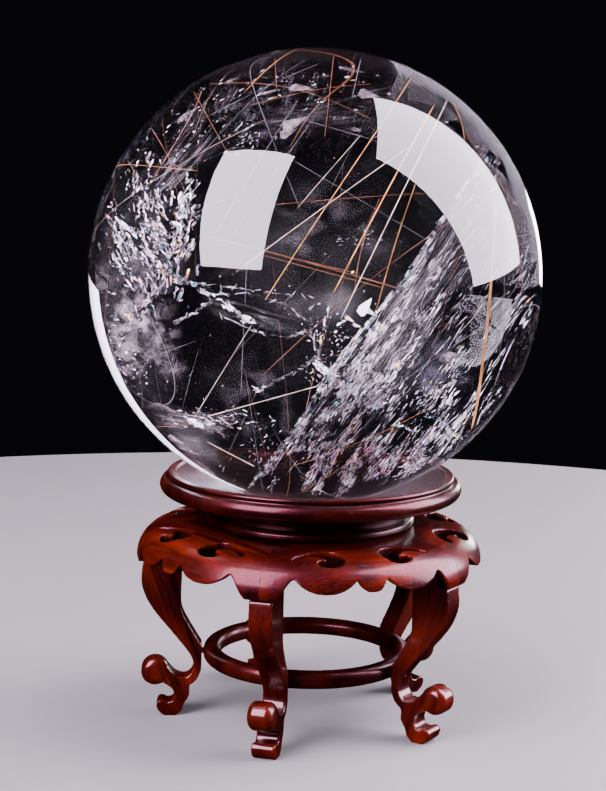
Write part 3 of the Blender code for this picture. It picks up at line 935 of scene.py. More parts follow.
def needle_material(name, colour, metallic, roughness):
    """Rutile needle: a bright metallic thread with darker joints along it."""
    material, tree = new_material(name)
    joints = object_noise(tree, scale=420.0, detail=2.0)
    shade = ramp(tree, (-450, 0), [(0.32, tuple(c * 0.45 for c in colour)), (0.55, tuple(colour)),
                                   (0.75, tuple(min(1.0, c * 1.35 + 0.05) for c in colour))])
    tree.links.new(joints, shade.inputs[0])
    shader = node(tree, "ShaderNodeBsdfPrincipled", (-100, 0))
    set_inputs(shader, Metallic=metallic, Roughness=roughness)
    tree.links.new(shade.outputs[0], shader.inputs["Base Color"])
    show(tree, shader)
    return material


def clear_crystal():
    """Polished quartz. Lamps shine through it onto what it holds."""
    ball = bpy.context.scene.ball_settings
    material, tree = new_material("clear_crystal")
    polish = object_noise(tree, scale=60.0, detail=2.0)
    rough = ramp(tree, (-450, 0), [(0.4, grey(0.0)), (0.8, grey(0.004))])
    tree.links.new(polish, rough.inputs[0])
    shader = node(tree, "ShaderNodeBsdfPrincipled", (-100, 0))
    set_inputs(shader, Metallic=0.0, IOR=ball.refraction, Transmission_Weight=1.0)
    shader.inputs["Base Color"].default_value = (*ball.tint, 1.0)
    tree.links.new(rough.outputs[0], shader.inputs["Roughness"])
    path = node(tree, "ShaderNodeLightPath", (-100, 350))
    through = node(tree, "ShaderNodeBsdfTransparent", (-100, -400))
    through.inputs[0].default_value = (ball.shade, ball.shade, ball.shade, 1.0)
    either = node(tree, "ShaderNodeMixShader", (250, 0))
    tree.links.new(path.outputs["Is Shadow Ray"], either.inputs[0])
    tree.links.new(shader.outputs[0], either.inputs[1])
    tree.links.new(through.outputs[0], either.inputs[2])
    show(tree, either, (500, 0))
    return material


# ---------------------------------------------------------------- crystal pieces

def on_ball(obj, material):
    wear_material(obj, material)
    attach(obj, "ball")
    return obj


def smooth_along(obj):
    activate(obj)
    bpy.ops.object.shade_smooth_by_angle(angle=math.radians(40))


def true_up(obj):
    """Bring every point of the ball to its exact radius."""
    for vertex in obj.data.vertices:
        vertex.co = BALL_CENTRE + (vertex.co - BALL_CENTRE).normalized() * BALL_RADIUS


class QUARTZ_OT_crystal_sphere(bpy.types.Operator):
    """Polish the quartz ball"""
    bl_idname = "quartz.crystal_sphere"
    bl_label = "Crystal sphere"

    def execute(self, context):
        deselect()
        bpy.ops.mesh.primitive_ico_sphere_add(subdivisions=6, radius=BALL_RADIUS)
        obj = context.object
        edit(obj)
        bpy.ops.mesh.subdivide(number_cuts=1)
        bpy.ops.transform.tosphere(value=1.0)
        leave_edit()
        obj.location = BALL_CENTRE
        settle(obj, "crystal_sphere")
        true_up(obj)
        activate(obj)
        bpy.ops.object.shade_smooth()
        on_ball(obj, clear_crystal())
        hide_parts("crystal_ball")
        return {"FINISHED"}


def needle_piece(name, runs, material, slim, strays, stray_widths, seed):
    """Needles of one kind: the listed runs, at a share of their listed widths, and some strays."""
    placings = crystal_needles(runs, slim, seed) + stray_needles(strays, seed + 1, stray_widths)
    obj = scatter(needle_pattern(), placings, name)
    tidy_surface(obj)
    smooth_along(obj)
    return on_ball(obj, material)


class QUARTZ_OT_needles(bpy.types.Operator):
    """Grow the gold, cream, copper and silver needles"""
    bl_idname = "quartz.needles"
    bl_label = "Needles"

    def execute(self, context):
        ball = context.scene.ball_settings
        needle_piece("gold_needles", GOLD_NEEDLES,
                     needle_material("golden_rutile", ball.gold, metallic=0.35, roughness=0.3),
                     slim=0.25, strays=5, stray_widths=(0.04, 0.07), seed=11)
        needle_piece("pale_needles", PALE_NEEDLES,
                     needle_material("pale_rutile", ball.pale, metallic=0.2, roughness=0.3),
                     slim=0.25, strays=4, stray_widths=(0.02, 0.04), seed=53)
        needle_piece("copper_needles", COPPER_NEEDLES,
                     needle_material("copper_rutile", ball.copper, metallic=0.35, roughness=0.35),
                     slim=0.24, strays=14, stray_widths=(0.03, 0.06), seed=23)
        needle_piece("silver_needles", SILVER_NEEDLES,
                     needle_material("silver_rutile", ball.silver, metallic=0.2, roughness=0.3),
                     slim=0.18, strays=26, stray_widths=(0.015, 0.03), seed=37)
        return {"FINISHED"}


# The great veil crosses the ball from low left to upper right. Along and across are its own directions as
# seen from the front. Its edge, its half length and its far side are in radii of the ball's outline, and long
# streaks and edge streaks are counted apart from its other shards.
VEIL_ALONG = (0.588, 0.809)
VEIL_ACROSS = (0.809, -0.588)
VEIL_EDGE = 0.31
VEIL_LENGTH = 0.93
VEIL_BACK = 0.96
LONG_STREAKS = 420
EDGE_STREAKS = 520


def veil_point(along, across, lift=0.0):
    """A point of the great veil."""
    u = VEIL_ALONG[0] * along + VEIL_ACROSS[0] * across
    v = VEIL_ALONG[1] * along + VEIL_ACROSS[1] * across
    depth = 0.30 + 0.42 * (across - VEIL_EDGE) + 0.05 * math.sin(5 * along) + lift
    return seen_at(u, v, held_depth(depth))


def wavy_edge(along):
    """Where the great veil starts, at a place along it."""
    return VEIL_EDGE + 0.012 * math.sin(7 * along)


def veil_amount(along, across):
    """How thickly the great veil is strewn at a place."""
    near = math.exp(-((across - VEIL_EDGE) / 0.15) ** 2)
    low = held_share((0.15 - along) / 0.6)
    middle = math.exp(-((along + 0.05) / 0.28) ** 2 - ((across - 0.46) / 0.13) ** 2)
    rim = held_share((math.hypot(along, across) - 0.84) / 0.10)
    base = 0.03 + 0.30 * near + 1.15 * low * max(0.0, 1.10 - 1.2 * across) + 0.20 * middle + 0.12 * rim
    patches = noise.noise(Vector((along * 3.2, across * 7.0, 0.3)))
    lace = noise.noise(Vector((along * 9.0, across * 26.0, 1.7)))
    return base * held_share(0.55 + 0.25 * low + 1.7 * patches) * held_share(0.30 + 4.2 * lace)


def veil_streak(along, across, reach, width, dice, lift=0.0):
    """One streak that runs with the veil."""
    place = veil_point(along, across, lift)
    heading = (veil_point(along + 0.05, across + dice.gauss(0, 0.005), lift) - place).normalized()
    facing = any_way(dice)
    return lay_flake(inside_ball(place), heading, facing, reach * MM, width * MM, width * 0.4 * MM)


def veil_placings(count, dice):
    """Short streaks strewn through the great veil, long ones over them, and a dense line at its edge."""
    placings = []
    while len(placings) < count:
        along = dice.uniform(-VEIL_LENGTH, VEIL_LENGTH)
        across = wavy_edge(along) + dice.random() * (VEIL_BACK - VEIL_EDGE)
        if math.hypot(along, across) > RIM or dice.random() > veil_amount(along, across):
            continue
        low = held_share(0.6 - along)
        bold = 1.0 + 2.0 * dice.random() ** 5
        reach = dice.uniform(0.6, 2.8) * (0.6 + 0.6 * low) * bold
        width = dice.uniform(0.03, 0.10) * (0.5 + 1.1 * low) * bold
        placings.append(veil_streak(along, across, reach, width, dice, dice.gauss(0, 0.03)))
    while len(placings) < count + LONG_STREAKS:
        along, across = dice.uniform(-0.9, 0.9), dice.uniform(VEIL_EDGE, 0.92)
        if math.hypot(along, across) > 0.93 or dice.random() > 0.35 + veil_amount(along, across):
            continue
        placings.append(veil_streak(along, across, dice.uniform(2.5, 8.0), dice.uniform(0.03, 0.075), dice,
                                    dice.gauss(0, 0.04)))
    for _ in range(EDGE_STREAKS):
        along = dice.uniform(-VEIL_LENGTH, 0.86)
        across = wavy_edge(along) + dice.gauss(0, 0.004)
        placings.append(veil_streak(along, across, dice.uniform(1.5, 5.0), dice.uniform(0.05, 0.13), dice,
                                    dice.gauss(0, 0.006)))
    return placings


def cluster(centre, spread, count, sizes, dice, depth, lean=None):
    """Shards strewn round a seen place: centre and spread are (across, height). Where a lean in degrees is
    given, the shards are drawn out along it."""
    placings = []
    while len(placings) < count:
        u = dice.gauss(centre[0], spread[0] / 2)
        v = dice.gauss(centre[1], spread[1] / 2)
        if math.hypot(u, v) > RIM:
            continue
        where = held_depth(dice.gauss(depth, 0.05))
        place = seen_at(u, v, where)
        heading = any_way(dice)
        slim = dice.uniform(0.25, 0.7)
        if lean is not None:
            turn = math.radians(dice.gauss(lean, 22))
            heading = seen_at(u + 0.03 * math.cos(turn), v + 0.03 * math.sin(turn), where) - place
            slim = dice.uniform(0.06, 0.26)
        facing = any_way(dice)
        size = dice.uniform(*sizes) * MM
        placings.append(lay_flake(inside_ball(place), heading, facing, size, size * slim, size * 0.10))
    return placings


# Crackled places: (across, height), spread of both, count, sizes in mm, depth, and lean in degrees.
CRACKLES = [
    ((-0.76, 0.38), (0.12, 0.18), 70, (1.2, 4.2), 0.22, 100),
    ((-0.72, 0.16), (0.16, 0.14), 80, (1.2, 5.0), 0.28, -52),
    ((-0.86, 0.14), (0.08, 0.20), 50, (1.0, 4.4), 0.30, -56),
    ((-0.70, 0.30), (0.26, 0.34), 60, (0.3, 1.0), 0.24, None),
    ((-0.57, 0.22), (0.06, 0.24), 70, (1.4, 5.4), 0.25, 62),
    ((-0.68, 0.02), (0.10, 0.14), 50, (1.0, 4.4), 0.34, 72),
    ((-0.32, 0.59), (0.10, 0.08), 90, (0.25, 1.1), 0.30, 50),
    ((0.08, -0.26), (0.12, 0.14), 90, (0.2, 0.9), 0.36, None),
    ((0.10, -0.45), (0.14, 0.08), 170, (0.25, 1.1), 0.35, -42),
    ((0.76, 0.54), (0.08, 0.14), 150, (0.2, 0.8), 0.45, 54),
    ((0.48, -0.53), (0.12, 0.08), 80, (0.4, 1.5), 0.40, 54),
    ((0.47, -0.83), (0.12, 0.08), 110, (0.4, 1.6), 0.40, 30),
    ((0.20, 0.17), (0.12, 0.04), 50, (0.2, 0.9), 0.45, 10),
    ((-0.86, -0.34), (0.12, 0.20), 120, (0.2, 0.8), 0.45, None),
    ((-0.62, -0.48), (0.26, 0.16), 60, (0.15, 0.6), 0.50, 60),
    ((-0.46, -0.63), (0.20, 0.04), 130, (0.4, 1.8), 0.30, -14),
    ((-0.20, -0.76), (0.20, 0.12), 100, (0.2, 1.0), 0.42, 62),
    ((-0.05, 0.82), (0.60, 0.14), 90, (0.3, 1.2), 0.50, 16),
    ((-0.60, 0.66), (0.24, 0.12), 60, (0.2, 0.9), 0.35, 40),
    ((-0.25, 0.05), (0.70, 0.60), 150, (0.1, 0.35), 0.50, None),
    ((0.50, 0.00), (0.50, 0.40), 90, (0.1, 0.3), 0.55, None),
]
# Flat chips: (across, height, depth), length and width in mm, and turn in degrees from level.
BRIGHT_CHIPS = [
    ((0.225, -0.125, 0.33), 4.4, 3.4, 58), ((0.250, -0.165, 0.33), 3.4, 1.4, -30),
    ((0.63, -0.37, 0.40), 1.3, 1.0, 20), ((-0.49, -0.665, 0.28), 6.0, 1.9, -12),
    ((-0.43, -0.69, 0.29), 3.4, 1.2, -24), ((0.46, -0.86, 0.38), 3.4, 0.8, 8),
    ((0.165, 0.02, 0.45), 0.9, 0.5, 30), ((0.54, -0.44, 0.42), 2.2, 0.6, 60),
    ((0.44, -0.30, 0.42), 2.6, 0.6, 64),
]
RAINBOW_CHIPS = [
    ((0.150, -0.185, 0.34), 2.6, 0.9, -30), ((0.185, -0.215, 0.345), 2.0, 0.8, -12),
    ((0.120, -0.200, 0.35), 2.0, 0.6, 30), ((-0.78, 0.50, 0.30), 1.0, 0.5, 70),
    ((-0.73, 0.54, 0.30), 1.0, 0.45, 95), ((-0.64, 0.66, 0.30), 1.0, 0.5, 40),
    ((-0.53, 0.63, 0.30), 0.9, 0.5, -40), ((-0.72, 0.20, 0.28), 1.2, 0.4, 80),
    ((0.82, -0.53, 0.35), 0.9, 0.35, 20), ((-0.84, -0.43, 0.40), 0.8, 0.3, -30),
    ((-0.74, -0.47, 0.40), 0.7, 0.3, 20), ((0.70, -0.60, 0.40), 0.8, 0.3, 60),
]
DULL_CHIPS = [
    ((-0.05, 0.83, 0.50), 4.4, 1.4, -2), ((0.05, 0.875, 0.50), 2.2, 0.7, 2),
    ((0.17, 0.90, 0.45), 4.0, 0.9, -6), ((0.25, 0.79, 0.50), 4.2, 2.2, -6),
    ((0.18, 0.64, 0.55), 2.8, 1.0, -6), ((-0.36, 0.86, 0.45), 3.0, 0.7, 24),
    ((-0.22, 0.80, 0.45), 4.5, 0.6, 16), ((-0.57, -0.76, 0.40), 6.0, 3.0, -20),
    ((0.62, -0.34, 0.42), 5.0, 2.4, 6), ((-0.10, 0.66, 0.60), 5.0, 2.6, 30),
    ((-0.62, -0.60, 0.36), 7.0, 1.0, -16), ((-0.53, 0.73, 0.45), 5.0, 1.4, 34),
]


def plate_pattern():
    """A thin broken plate, longer at one end."""
    deselect()
    bpy.ops.mesh.primitive_cylinder_add(vertices=7, radius=0.5, depth=1.0)
    obj = settle(bpy.context.object, "plate_pattern")
    edit(obj)
    bpy.ops.mesh.bisect(plane_co=(0.18, 0, 0), plane_no=(0.6, 0.8, 0), use_fill=True, clear_outer=True)
    bpy.ops.mesh.select_all(action="SELECT")
    bpy.ops.mesh.bisect(plane_co=(0.10, -0.12, 0), plane_no=(0.35, -0.93, 0), use_fill=True, clear_outer=True)
    leave_edit()
    tidy_surface(obj)
    return obj


CHIP_THICKNESS = 0.12 * MM


def chip_placings(chips, pieces, dice):
    """Flat plates that face the front, a few overlapping ones for each chip."""
    placings = []
    _, right, up, forward = view_axes()
    for spot, length, width, turn in chips:
        heading = right * math.cos(math.radians(turn)) + up * math.sin(math.radians(turn))
        for _ in range(pieces):
            facing = -forward + 0.35 * up - 0.30 * right + any_way(dice, 0.16)
            shift = heading * dice.gauss(0, length * 0.10 * MM) + up * dice.gauss(0, width * 0.10 * MM)
            size = dice.uniform(0.6, 1.0)
            place = inside_ball(seen_at(*spot) + shift, 2 * MM)
            placings.append(lay_flake(place, heading, facing, length * size * MM, width * size * MM,
                                      CHIP_THICKNESS))
    return placings


RIB_FLAKE_THICKNESS = 0.06 * MM


def rib_placings(dice):
    """Flakes that run along each rib of the branching crack."""
    placings = []
    for chain, width in CRACK_RIBS:
        points = [seen_at(*spot) for spot in chain]
        for here, there in zip(points, points[1:]):
            for _ in range(int(10 + 16 * width)):
                place = inside_ball(here.lerp(there, dice.random()) + any_way(dice, width * 0.22 * MM))
                heading = (there - here).normalized() + any_way(dice, 0.35)
                facing = any_way(dice)
                length = dice.uniform(0.5, 2.4) * MM
                across = width * dice.uniform(0.12, 0.4) * MM
                placings.append(lay_flake(place, heading, facing, length, across, RIB_FLAKE_THICKNESS))
    return placings


def dull_quartz():
    """Faint, frosted plates."""
    material, tree = new_material("dull_quartz")
    frost = object_noise(tree, scale=900.0, detail=3.0)
    tone = ramp(tree, (-450, 100), [(0.35, (0.045, 0.030, 0.034)), (0.65, (0.15, 0.105, 0.115))])
    tree.links.new(frost, tone.inputs[0])
    thin = ramp(tree, (-450, -150), [(0.35, grey(0.25)), (0.65, grey(0.75))])
    tree.links.new(frost, thin.inputs[0])
    shader = node(tree, "ShaderNodeBsdfPrincipled", (-100, 0))
    set_inputs(shader, Roughness=0.5)
    tree.links.new(tone.outputs[0], shader.inputs["Base Color"])
    tree.links.new(thin.outputs[0], shader.inputs["Alpha"])
    show(tree, shader)
    return material


class QUARTZ_OT_great_veil(bpy.types.Operator):
    """Fill the great veil with streaks of splinters"""
    bl_idname = "quartz.great_veil"
    bl_label = "Great veil"

    def execute(self, context):
        dice = random.Random(5)
        shards = scatter(shard_pattern(), veil_placings(context.scene.ball_settings.veil_shards, dice),
                         "great_veil_shards")
        on_ball(shards, broken_quartz("veil_quartz", scale=900.0, mirror=0.72, rainbow=0.03))
        return {"FINISHED"}


class QUARTZ_OT_crackles(bpy.types.Operator):
    """Scatter crackled places, chips and the ribs of the branching crack"""
    bl_idname = "quartz.crackles"
    bl_label = "Crackles and chips"

    def execute(self, context):
        dice = random.Random(8)
        placings = []
        for centre, spread, count, sizes, depth, lean in CRACKLES:
            placings += cluster(centre, spread, count, sizes, dice, depth, lean)
        crackles = scatter(shard_pattern(), placings, "crackle_shards")
        on_ball(crackles, broken_quartz("crackled_quartz", scale=1300.0, mirror=0.80, rainbow=0.10))
        bright = broken_quartz("bright_quartz", scale=300.0, mirror=0.2, rainbow=0.10)
        tinted = broken_quartz("rainbow_quartz", scale=1500.0, mirror=0.3, rainbow=0.75)
        for name, chips, pieces, material in (("bright_chips", BRIGHT_CHIPS, 3, bright),
                                              ("rainbow_chips", RAINBOW_CHIPS, 3, tinted),
                                              ("dull_chips", DULL_CHIPS, 2, dull_quartz())):
            on_ball(scatter(plate_pattern(), chip_placings(chips, pieces, dice), name), material)
        ribs = scatter(shard_pattern(), rib_placings(dice), "crack_ribs")
        on_ball(ribs, broken_quartz("rib_quartz", scale=700.0, mirror=0.25, rainbow=0.08))
        return {"FINISHED"}


# Healed cracks: name, four corners as (across, height, depth) going round, bulge, colour, streaks across and
# along, density, softness and body.
HEALED_CRACKS = [
    ("great_veil_sheet",
     ((-0.30, -0.92, 0.30), (0.81, 0.62, 0.34), (0.93, 0.32, 0.50), (0.20, -0.95, 0.50)), 0.04,
     (0.26, 0.23, 0.25), 70.0, 5.0, 0.60, 0.06, 0.006),
    ("veil_edge_sheet",
     ((-0.27, -0.90, 0.30), (0.77, 0.60, 0.32), (0.90, 0.50, 0.36), (-0.06, -0.96, 0.38)), 0.02,
     (0.34, 0.31, 0.33), 22.0, 4.0, 0.75, 0.08, 0.02),
    ("left_cloud",
     ((-1.08, 0.16, 0.42), (-0.60, 0.08, 0.40), (-0.52, -0.52, 0.50), (-1.00, -0.62, 0.55)), 0.06,
     (0.55, 0.48, 0.52), 12.0, 8.0, 0.80, 0.13, 0.02),
    ("left_mist",
     ((-0.96, 0.34, 0.50), (-0.52, 0.40, 0.46), (-0.50, -0.06, 0.50), (-0.94, -0.12, 0.55)), 0.06,
     (0.25, 0.22, 0.25), 8.0, 6.0, 0.40, 0.16, 0.01),
    ("upper_left_cloud",
     ((-0.95, 0.28, 0.40), (-0.50, 0.80, 0.40), (-0.34, 0.62, 0.48), (-0.72, 0.16, 0.46)), 0.05,
     (0.30, 0.26, 0.29), 20.0, 4.0, 0.50, 0.08, 0.01),
    ("feather_crack",
     ((-0.86, -0.52, 0.40), (-0.34, -0.60, 0.34), (-0.36, -0.74, 0.36), (-0.72, -0.66, 0.44)), 0.03,
     (0.55, 0.46, 0.48), 26.0, 3.0, 0.8, 0.08, 0.05),
    ("grey_crack",
     ((-0.74, -0.60, 0.50), (-0.44, -0.66, 0.48), (-0.36, -0.88, 0.50), (-0.62, -0.82, 0.55)), 0.03,
     (0.16, 0.15, 0.16), 4.0, 4.0, 0.5, 0.2, 0.35),
    ("crown_crack",
     ((-0.60, 0.76, 0.45), (0.44, 0.88, 0.45), (0.40, 0.60, 0.55), (-0.46, 0.56, 0.55)), 0.04,
     (0.10, 0.085, 0.090), 16.0, 6.0, 0.5, 0.12, 0.02),
    ("right_cloud",
     ((0.38, -0.16, 0.58), (0.70, -0.16, 0.58), (0.72, -0.52, 0.62), (0.38, -0.62, 0.62)), 0.05,
     (0.09, 0.085, 0.12), 7.0, 6.0, 0.65, 0.18, 0.04),
    ("middle_cloud",
     ((-0.36, 0.50, 0.70), (0.34, 0.62, 0.70), (0.46, 0.02, 0.74), (-0.24, -0.02, 0.74)), 0.05,
     (0.030, 0.024, 0.027), 5.0, 5.0, 0.70, 0.12, 0.0),
    ("low_cloud",
     ((-0.66, -0.20, 0.66), (0.04, -0.24, 0.66), (0.02, -0.80, 0.70), (-0.46, -0.80, 0.70)), 0.05,
     (0.042, 0.036, 0.042), 6.0, 5.0, 0.70, 0.12, 0.0),
    ("dark_lens",
     ((-0.56, -0.01, 0.50), (-0.03, -0.16, 0.50), (-0.02, -0.29, 0.50), (-0.46, -0.20, 0.50)), 0.03,
     (0.003, 0.0025, 0.002), 30.0, 3.0, 0.3, 0.1, 0.85),
    ("back_mist",
     ((-0.68, -0.68, 0.86), (0.68, -0.68, 0.86), (0.68, 0.68, 0.86), (-0.68, 0.68, 0.86)), 0.02,
     (0.007, 0.0055, 0.006), 5.0, 5.0, 0.5, 0.25, 0.10),
]


SHEET_THICKNESS = 0.04 * MM
SHEET_CELLS = 36


def crack_sheet(name, corners, bulge):
    """A thin curved sheet between four seen corners."""
    deselect()
    bpy.ops.mesh.primitive_grid_add(x_subdivisions=SHEET_CELLS, y_subdivisions=SHEET_CELLS, size=1.0)
    obj = settle(bpy.context.object, name)
    first, second, third, fourth = (Vector(corner) for corner in corners)
    for vertex in obj.data.vertices:
        p, q = vertex.co.x + 0.5, vertex.co.y + 0.5
        u, v, depth = first.lerp(second, p).lerp(fourth.lerp(third, p), q)
        swell = bulge * math.sin(math.pi * p) * math.sin(math.pi * q)
        ripple = 0.012 * noise.noise(Vector((p * 5, q * 7, bulge * 50)))
        vertex.co = inside_ball(seen_at(u, v, held_depth(depth + swell + ripple)))
    apply_modifier(obj, "SOLIDIFY", thickness=SHEET_THICKNESS, offset=0.0)
    activate(obj)
    bpy.ops.object.shade_smooth()
    return obj


class QUARTZ_OT_healed_cracks(bpy.types.Operator):
    """Lay the thin healed cracks and clouds"""
    bl_idname = "quartz.healed_cracks"
    bl_label = "Healed cracks"

    def execute(self, context):
        for name, corners, bulge, *looks in HEALED_CRACKS:
            on_ball(crack_sheet(name, corners, bulge), healed_crack(name + "_frost", *looks))
        return {"FINISHED"}


# ---------------------------------------------------------------- stand

def on_stand(obj, name, material, replaced):
    obj.name = obj.data.name = name
    wear_material(obj, material)
    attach(obj, "stand")
    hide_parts(replaced)
    return obj


def in_metres(profile):
    return [(0.0, -radius * MM, height * MM) for radius, height in profile]


SEAT_STEPS = 160
RING_STEPS = 144
RING_SIDES = 28
RING_SQUARENESS = 0.85


def seat_profile():
    """(radius, height) points of the turned seat, in mm, from the axis in the dish to the axis underneath."""
    centre = BALL_CENTRE.z / MM
    reach = BALL_RADIUS / MM + 0.3
    dish = [(radius, centre - math.sqrt(reach ** 2 - radius ** 2)) for radius in (0, 4, 8, 12, 16, 20)]
    rim = [(30.2, 56.0)] + arc((30.7, 56.2), 0.5, 180, 90, 4) + arc((31.65, 56.15), 0.55, 90, -20, 5)
    groove = arc((32.25, 55.55), 0.45, 120, 240, 4)
    moulding = arc((32.0, 53.7), 1.9, 70, -90, 16)
    cove = [((1 - t) ** 2 * 32.0 + 2 * t * (1 - t) * 22.3 + t ** 2 * 22.3,
             (1 - t) ** 2 * 51.8 + 2 * t * (1 - t) * 51.8 + t ** 2 * 47.6)
            for t in (step / 12 for step in range(1, 13))]
    bead = arc((22.4, 46.4), 1.1, 60, -90, 10)
    under = PLATE_UNDERSIDE / MM
    foot = [(20.0, bead[-1][1]), (20.0, under + 0.3), (19.7, under), (0, under)]
    return dish + rim + groove + moulding + cove + bead + foot


class QUARTZ_OT_seat(bpy.types.Operator):
    """Turn the seat that holds the ball"""
    bl_idname = "quartz.seat"
    bl_label = "Turned seat"

    def execute(self, context):
        obj = trace(in_metres(seat_profile()), "turned_seat")
        spin_about_z(obj, SEAT_STEPS)
        activate(obj)
        bpy.ops.object.shade_smooth_by_angle(angle=math.radians(38))
        material = lacquered_wood("seat_rosewood", 0.5, (0.2, 0.1, 0.0), tone=0.30, worn=0.10)
        on_stand(obj, "turned_seat", material, "ball_seat")
        return {"FINISHED"}


class QUARTZ_OT_stretcher(bpy.types.Operator):
    """Turn the ring that ties the legs together"""
    bl_idname = "quartz.stretcher"
    bl_label = "Stretcher ring"

    def execute(self, context):
        section = []
        for step in range(RING_SIDES):
            turn = math.tau * step / RING_SIDES
            out, up = (math.copysign(abs(part) ** RING_SQUARENESS, part)
                       for part in (math.cos(turn), math.sin(turn)))
            section.append((RING_RADIUS / MM + RING_SECTION / MM * out, RING_Z / MM + RING_SECTION / MM * up))
        obj = trace(in_metres(section + section[:1]), "turned_stretcher")
        spin_about_z(obj, RING_STEPS)
        activate(obj)
        bpy.ops.object.shade_smooth()
        material = lacquered_wood("ring_rosewood", 1.1, (0.4, 0.3, 0.0), tone=0.42, worn=0.10)
        on_stand(obj, "turned_stretcher", material, "stretcher_ring")
        return {"FINISHED"}


# One piercing of the apron's right half, as (degrees from the middle, radius in mm).
PIERCING = [(27.2, 34.2), (25.9, 31.7), (21.7, 29.7), (16.4, 28.4), (11.5, 28.5), (8.3, 30.3), (7.5, 33.0),
            (8.9, 35.0), (12.6, 35.8), (16.6, 35.4), (17.9, 34.3), (16.4, 33.6), (14.7, 33.4), (15.4, 32.3),
            (20.8, 31.7), (24.3, 33.2)]
SEAM = math.radians(0.05)
OVERRUN = math.radians(2.0)
DOWEL_AT = 32.0 * MM
DOWEL_RADIUS = 1.5 * MM
PEG_RADIUS = 1.0 * MM
# The scalloped edge, in degrees and mm: half the middle lobe, a side lobe, and the run down to the tongue.
NOTCH_HEIGHT = 40.9
MIDDLE_HALF, MIDDLE_DROP = 4.9, 2.6
SIDE_WIDTH, SIDE_DROP = 20.3, 2.9
SIDE_END = 25.2
TONGUE_RUN, TONGUE_DROP = 7.0, 5.4
SKIRT_HALF = 32.2
SKIRT_STEPS = 92
SKIRT_INNER, SKIRT_DEPTH = 35.1 * MM, 5.8 * MM
# The apron's one knot, in mm: its place at the middle of a segment, its radius, and its turn from there.
KNOT_PLACE = (0, -37.0, 42.3)
KNOT_RADIUS = 2.7
KNOT_TURN = math.radians(-1.5)


def skirt_edge(angle):
    """Height in mm of the scalloped edge, at an angle in degrees from the segment's middle."""
    angle = abs(angle)
    if angle < MIDDLE_HALF:
        return NOTCH_HEIGHT - MIDDLE_DROP * (1 - (angle / MIDDLE_HALF) ** 3)
    if angle < SIDE_END:
        return NOTCH_HEIGHT - SIDE_DROP * (1 - abs(2 * (angle - MIDDLE_HALF) / SIDE_WIDTH - 1) ** 2.3)
    share = min((angle - SIDE_END) / TONGUE_RUN, 1.0)
    return NOTCH_HEIGHT - TONGUE_DROP * share ** 2 * (3 - 2 * share)


def bend_round_axis(obj):
    """Take (angle, radius, height) points to their places round Z."""
    for vertex in obj.data.vertices:
        angle, radius, height = vertex.co
        vertex.co = (radius * math.sin(angle), -radius * math.cos(angle), height)
    tidy_surface(obj)


def skirt_cutter():
    """The space under the scalloped edge."""
    degrees = [-SKIRT_HALF + 2 * SKIRT_HALF * step / SKIRT_STEPS for step in range(SKIRT_STEPS + 1)]
    line = [(math.radians(angle), SKIRT_INNER, skirt_edge(angle) * MM) for angle in degrees]
    obj = trace(line, "skirt_cutter")
    edit(obj)
    bpy.ops.mesh.extrude_region_move(TRANSFORM_OT_translate={"value": (0, 0, -8 * MM)})
    bpy.ops.transform.resize(value=(1, 1, 0), center_override=(0, 0, 34 * MM))
    bpy.ops.mesh.select_all(action="SELECT")
    bpy.ops.mesh.extrude_region_move(TRANSFORM_OT_translate={"value": (0, SKIRT_DEPTH, 0)})
    leave_edit()
    bend_round_axis(obj)
    return obj


def bore(obj, start, end, radius):
    """Drill a round hole."""
    deselect()
    bpy.ops.mesh.primitive_cylinder_add(vertices=24, radius=radius, depth=(end - start).length)
    drill = bpy.context.object
    drill.rotation_euler = (end - start).to_track_quat("Z", "Y").to_euler()
    drill.location = (start + end) / 2
    take_away(obj, settle(drill, "drill"))


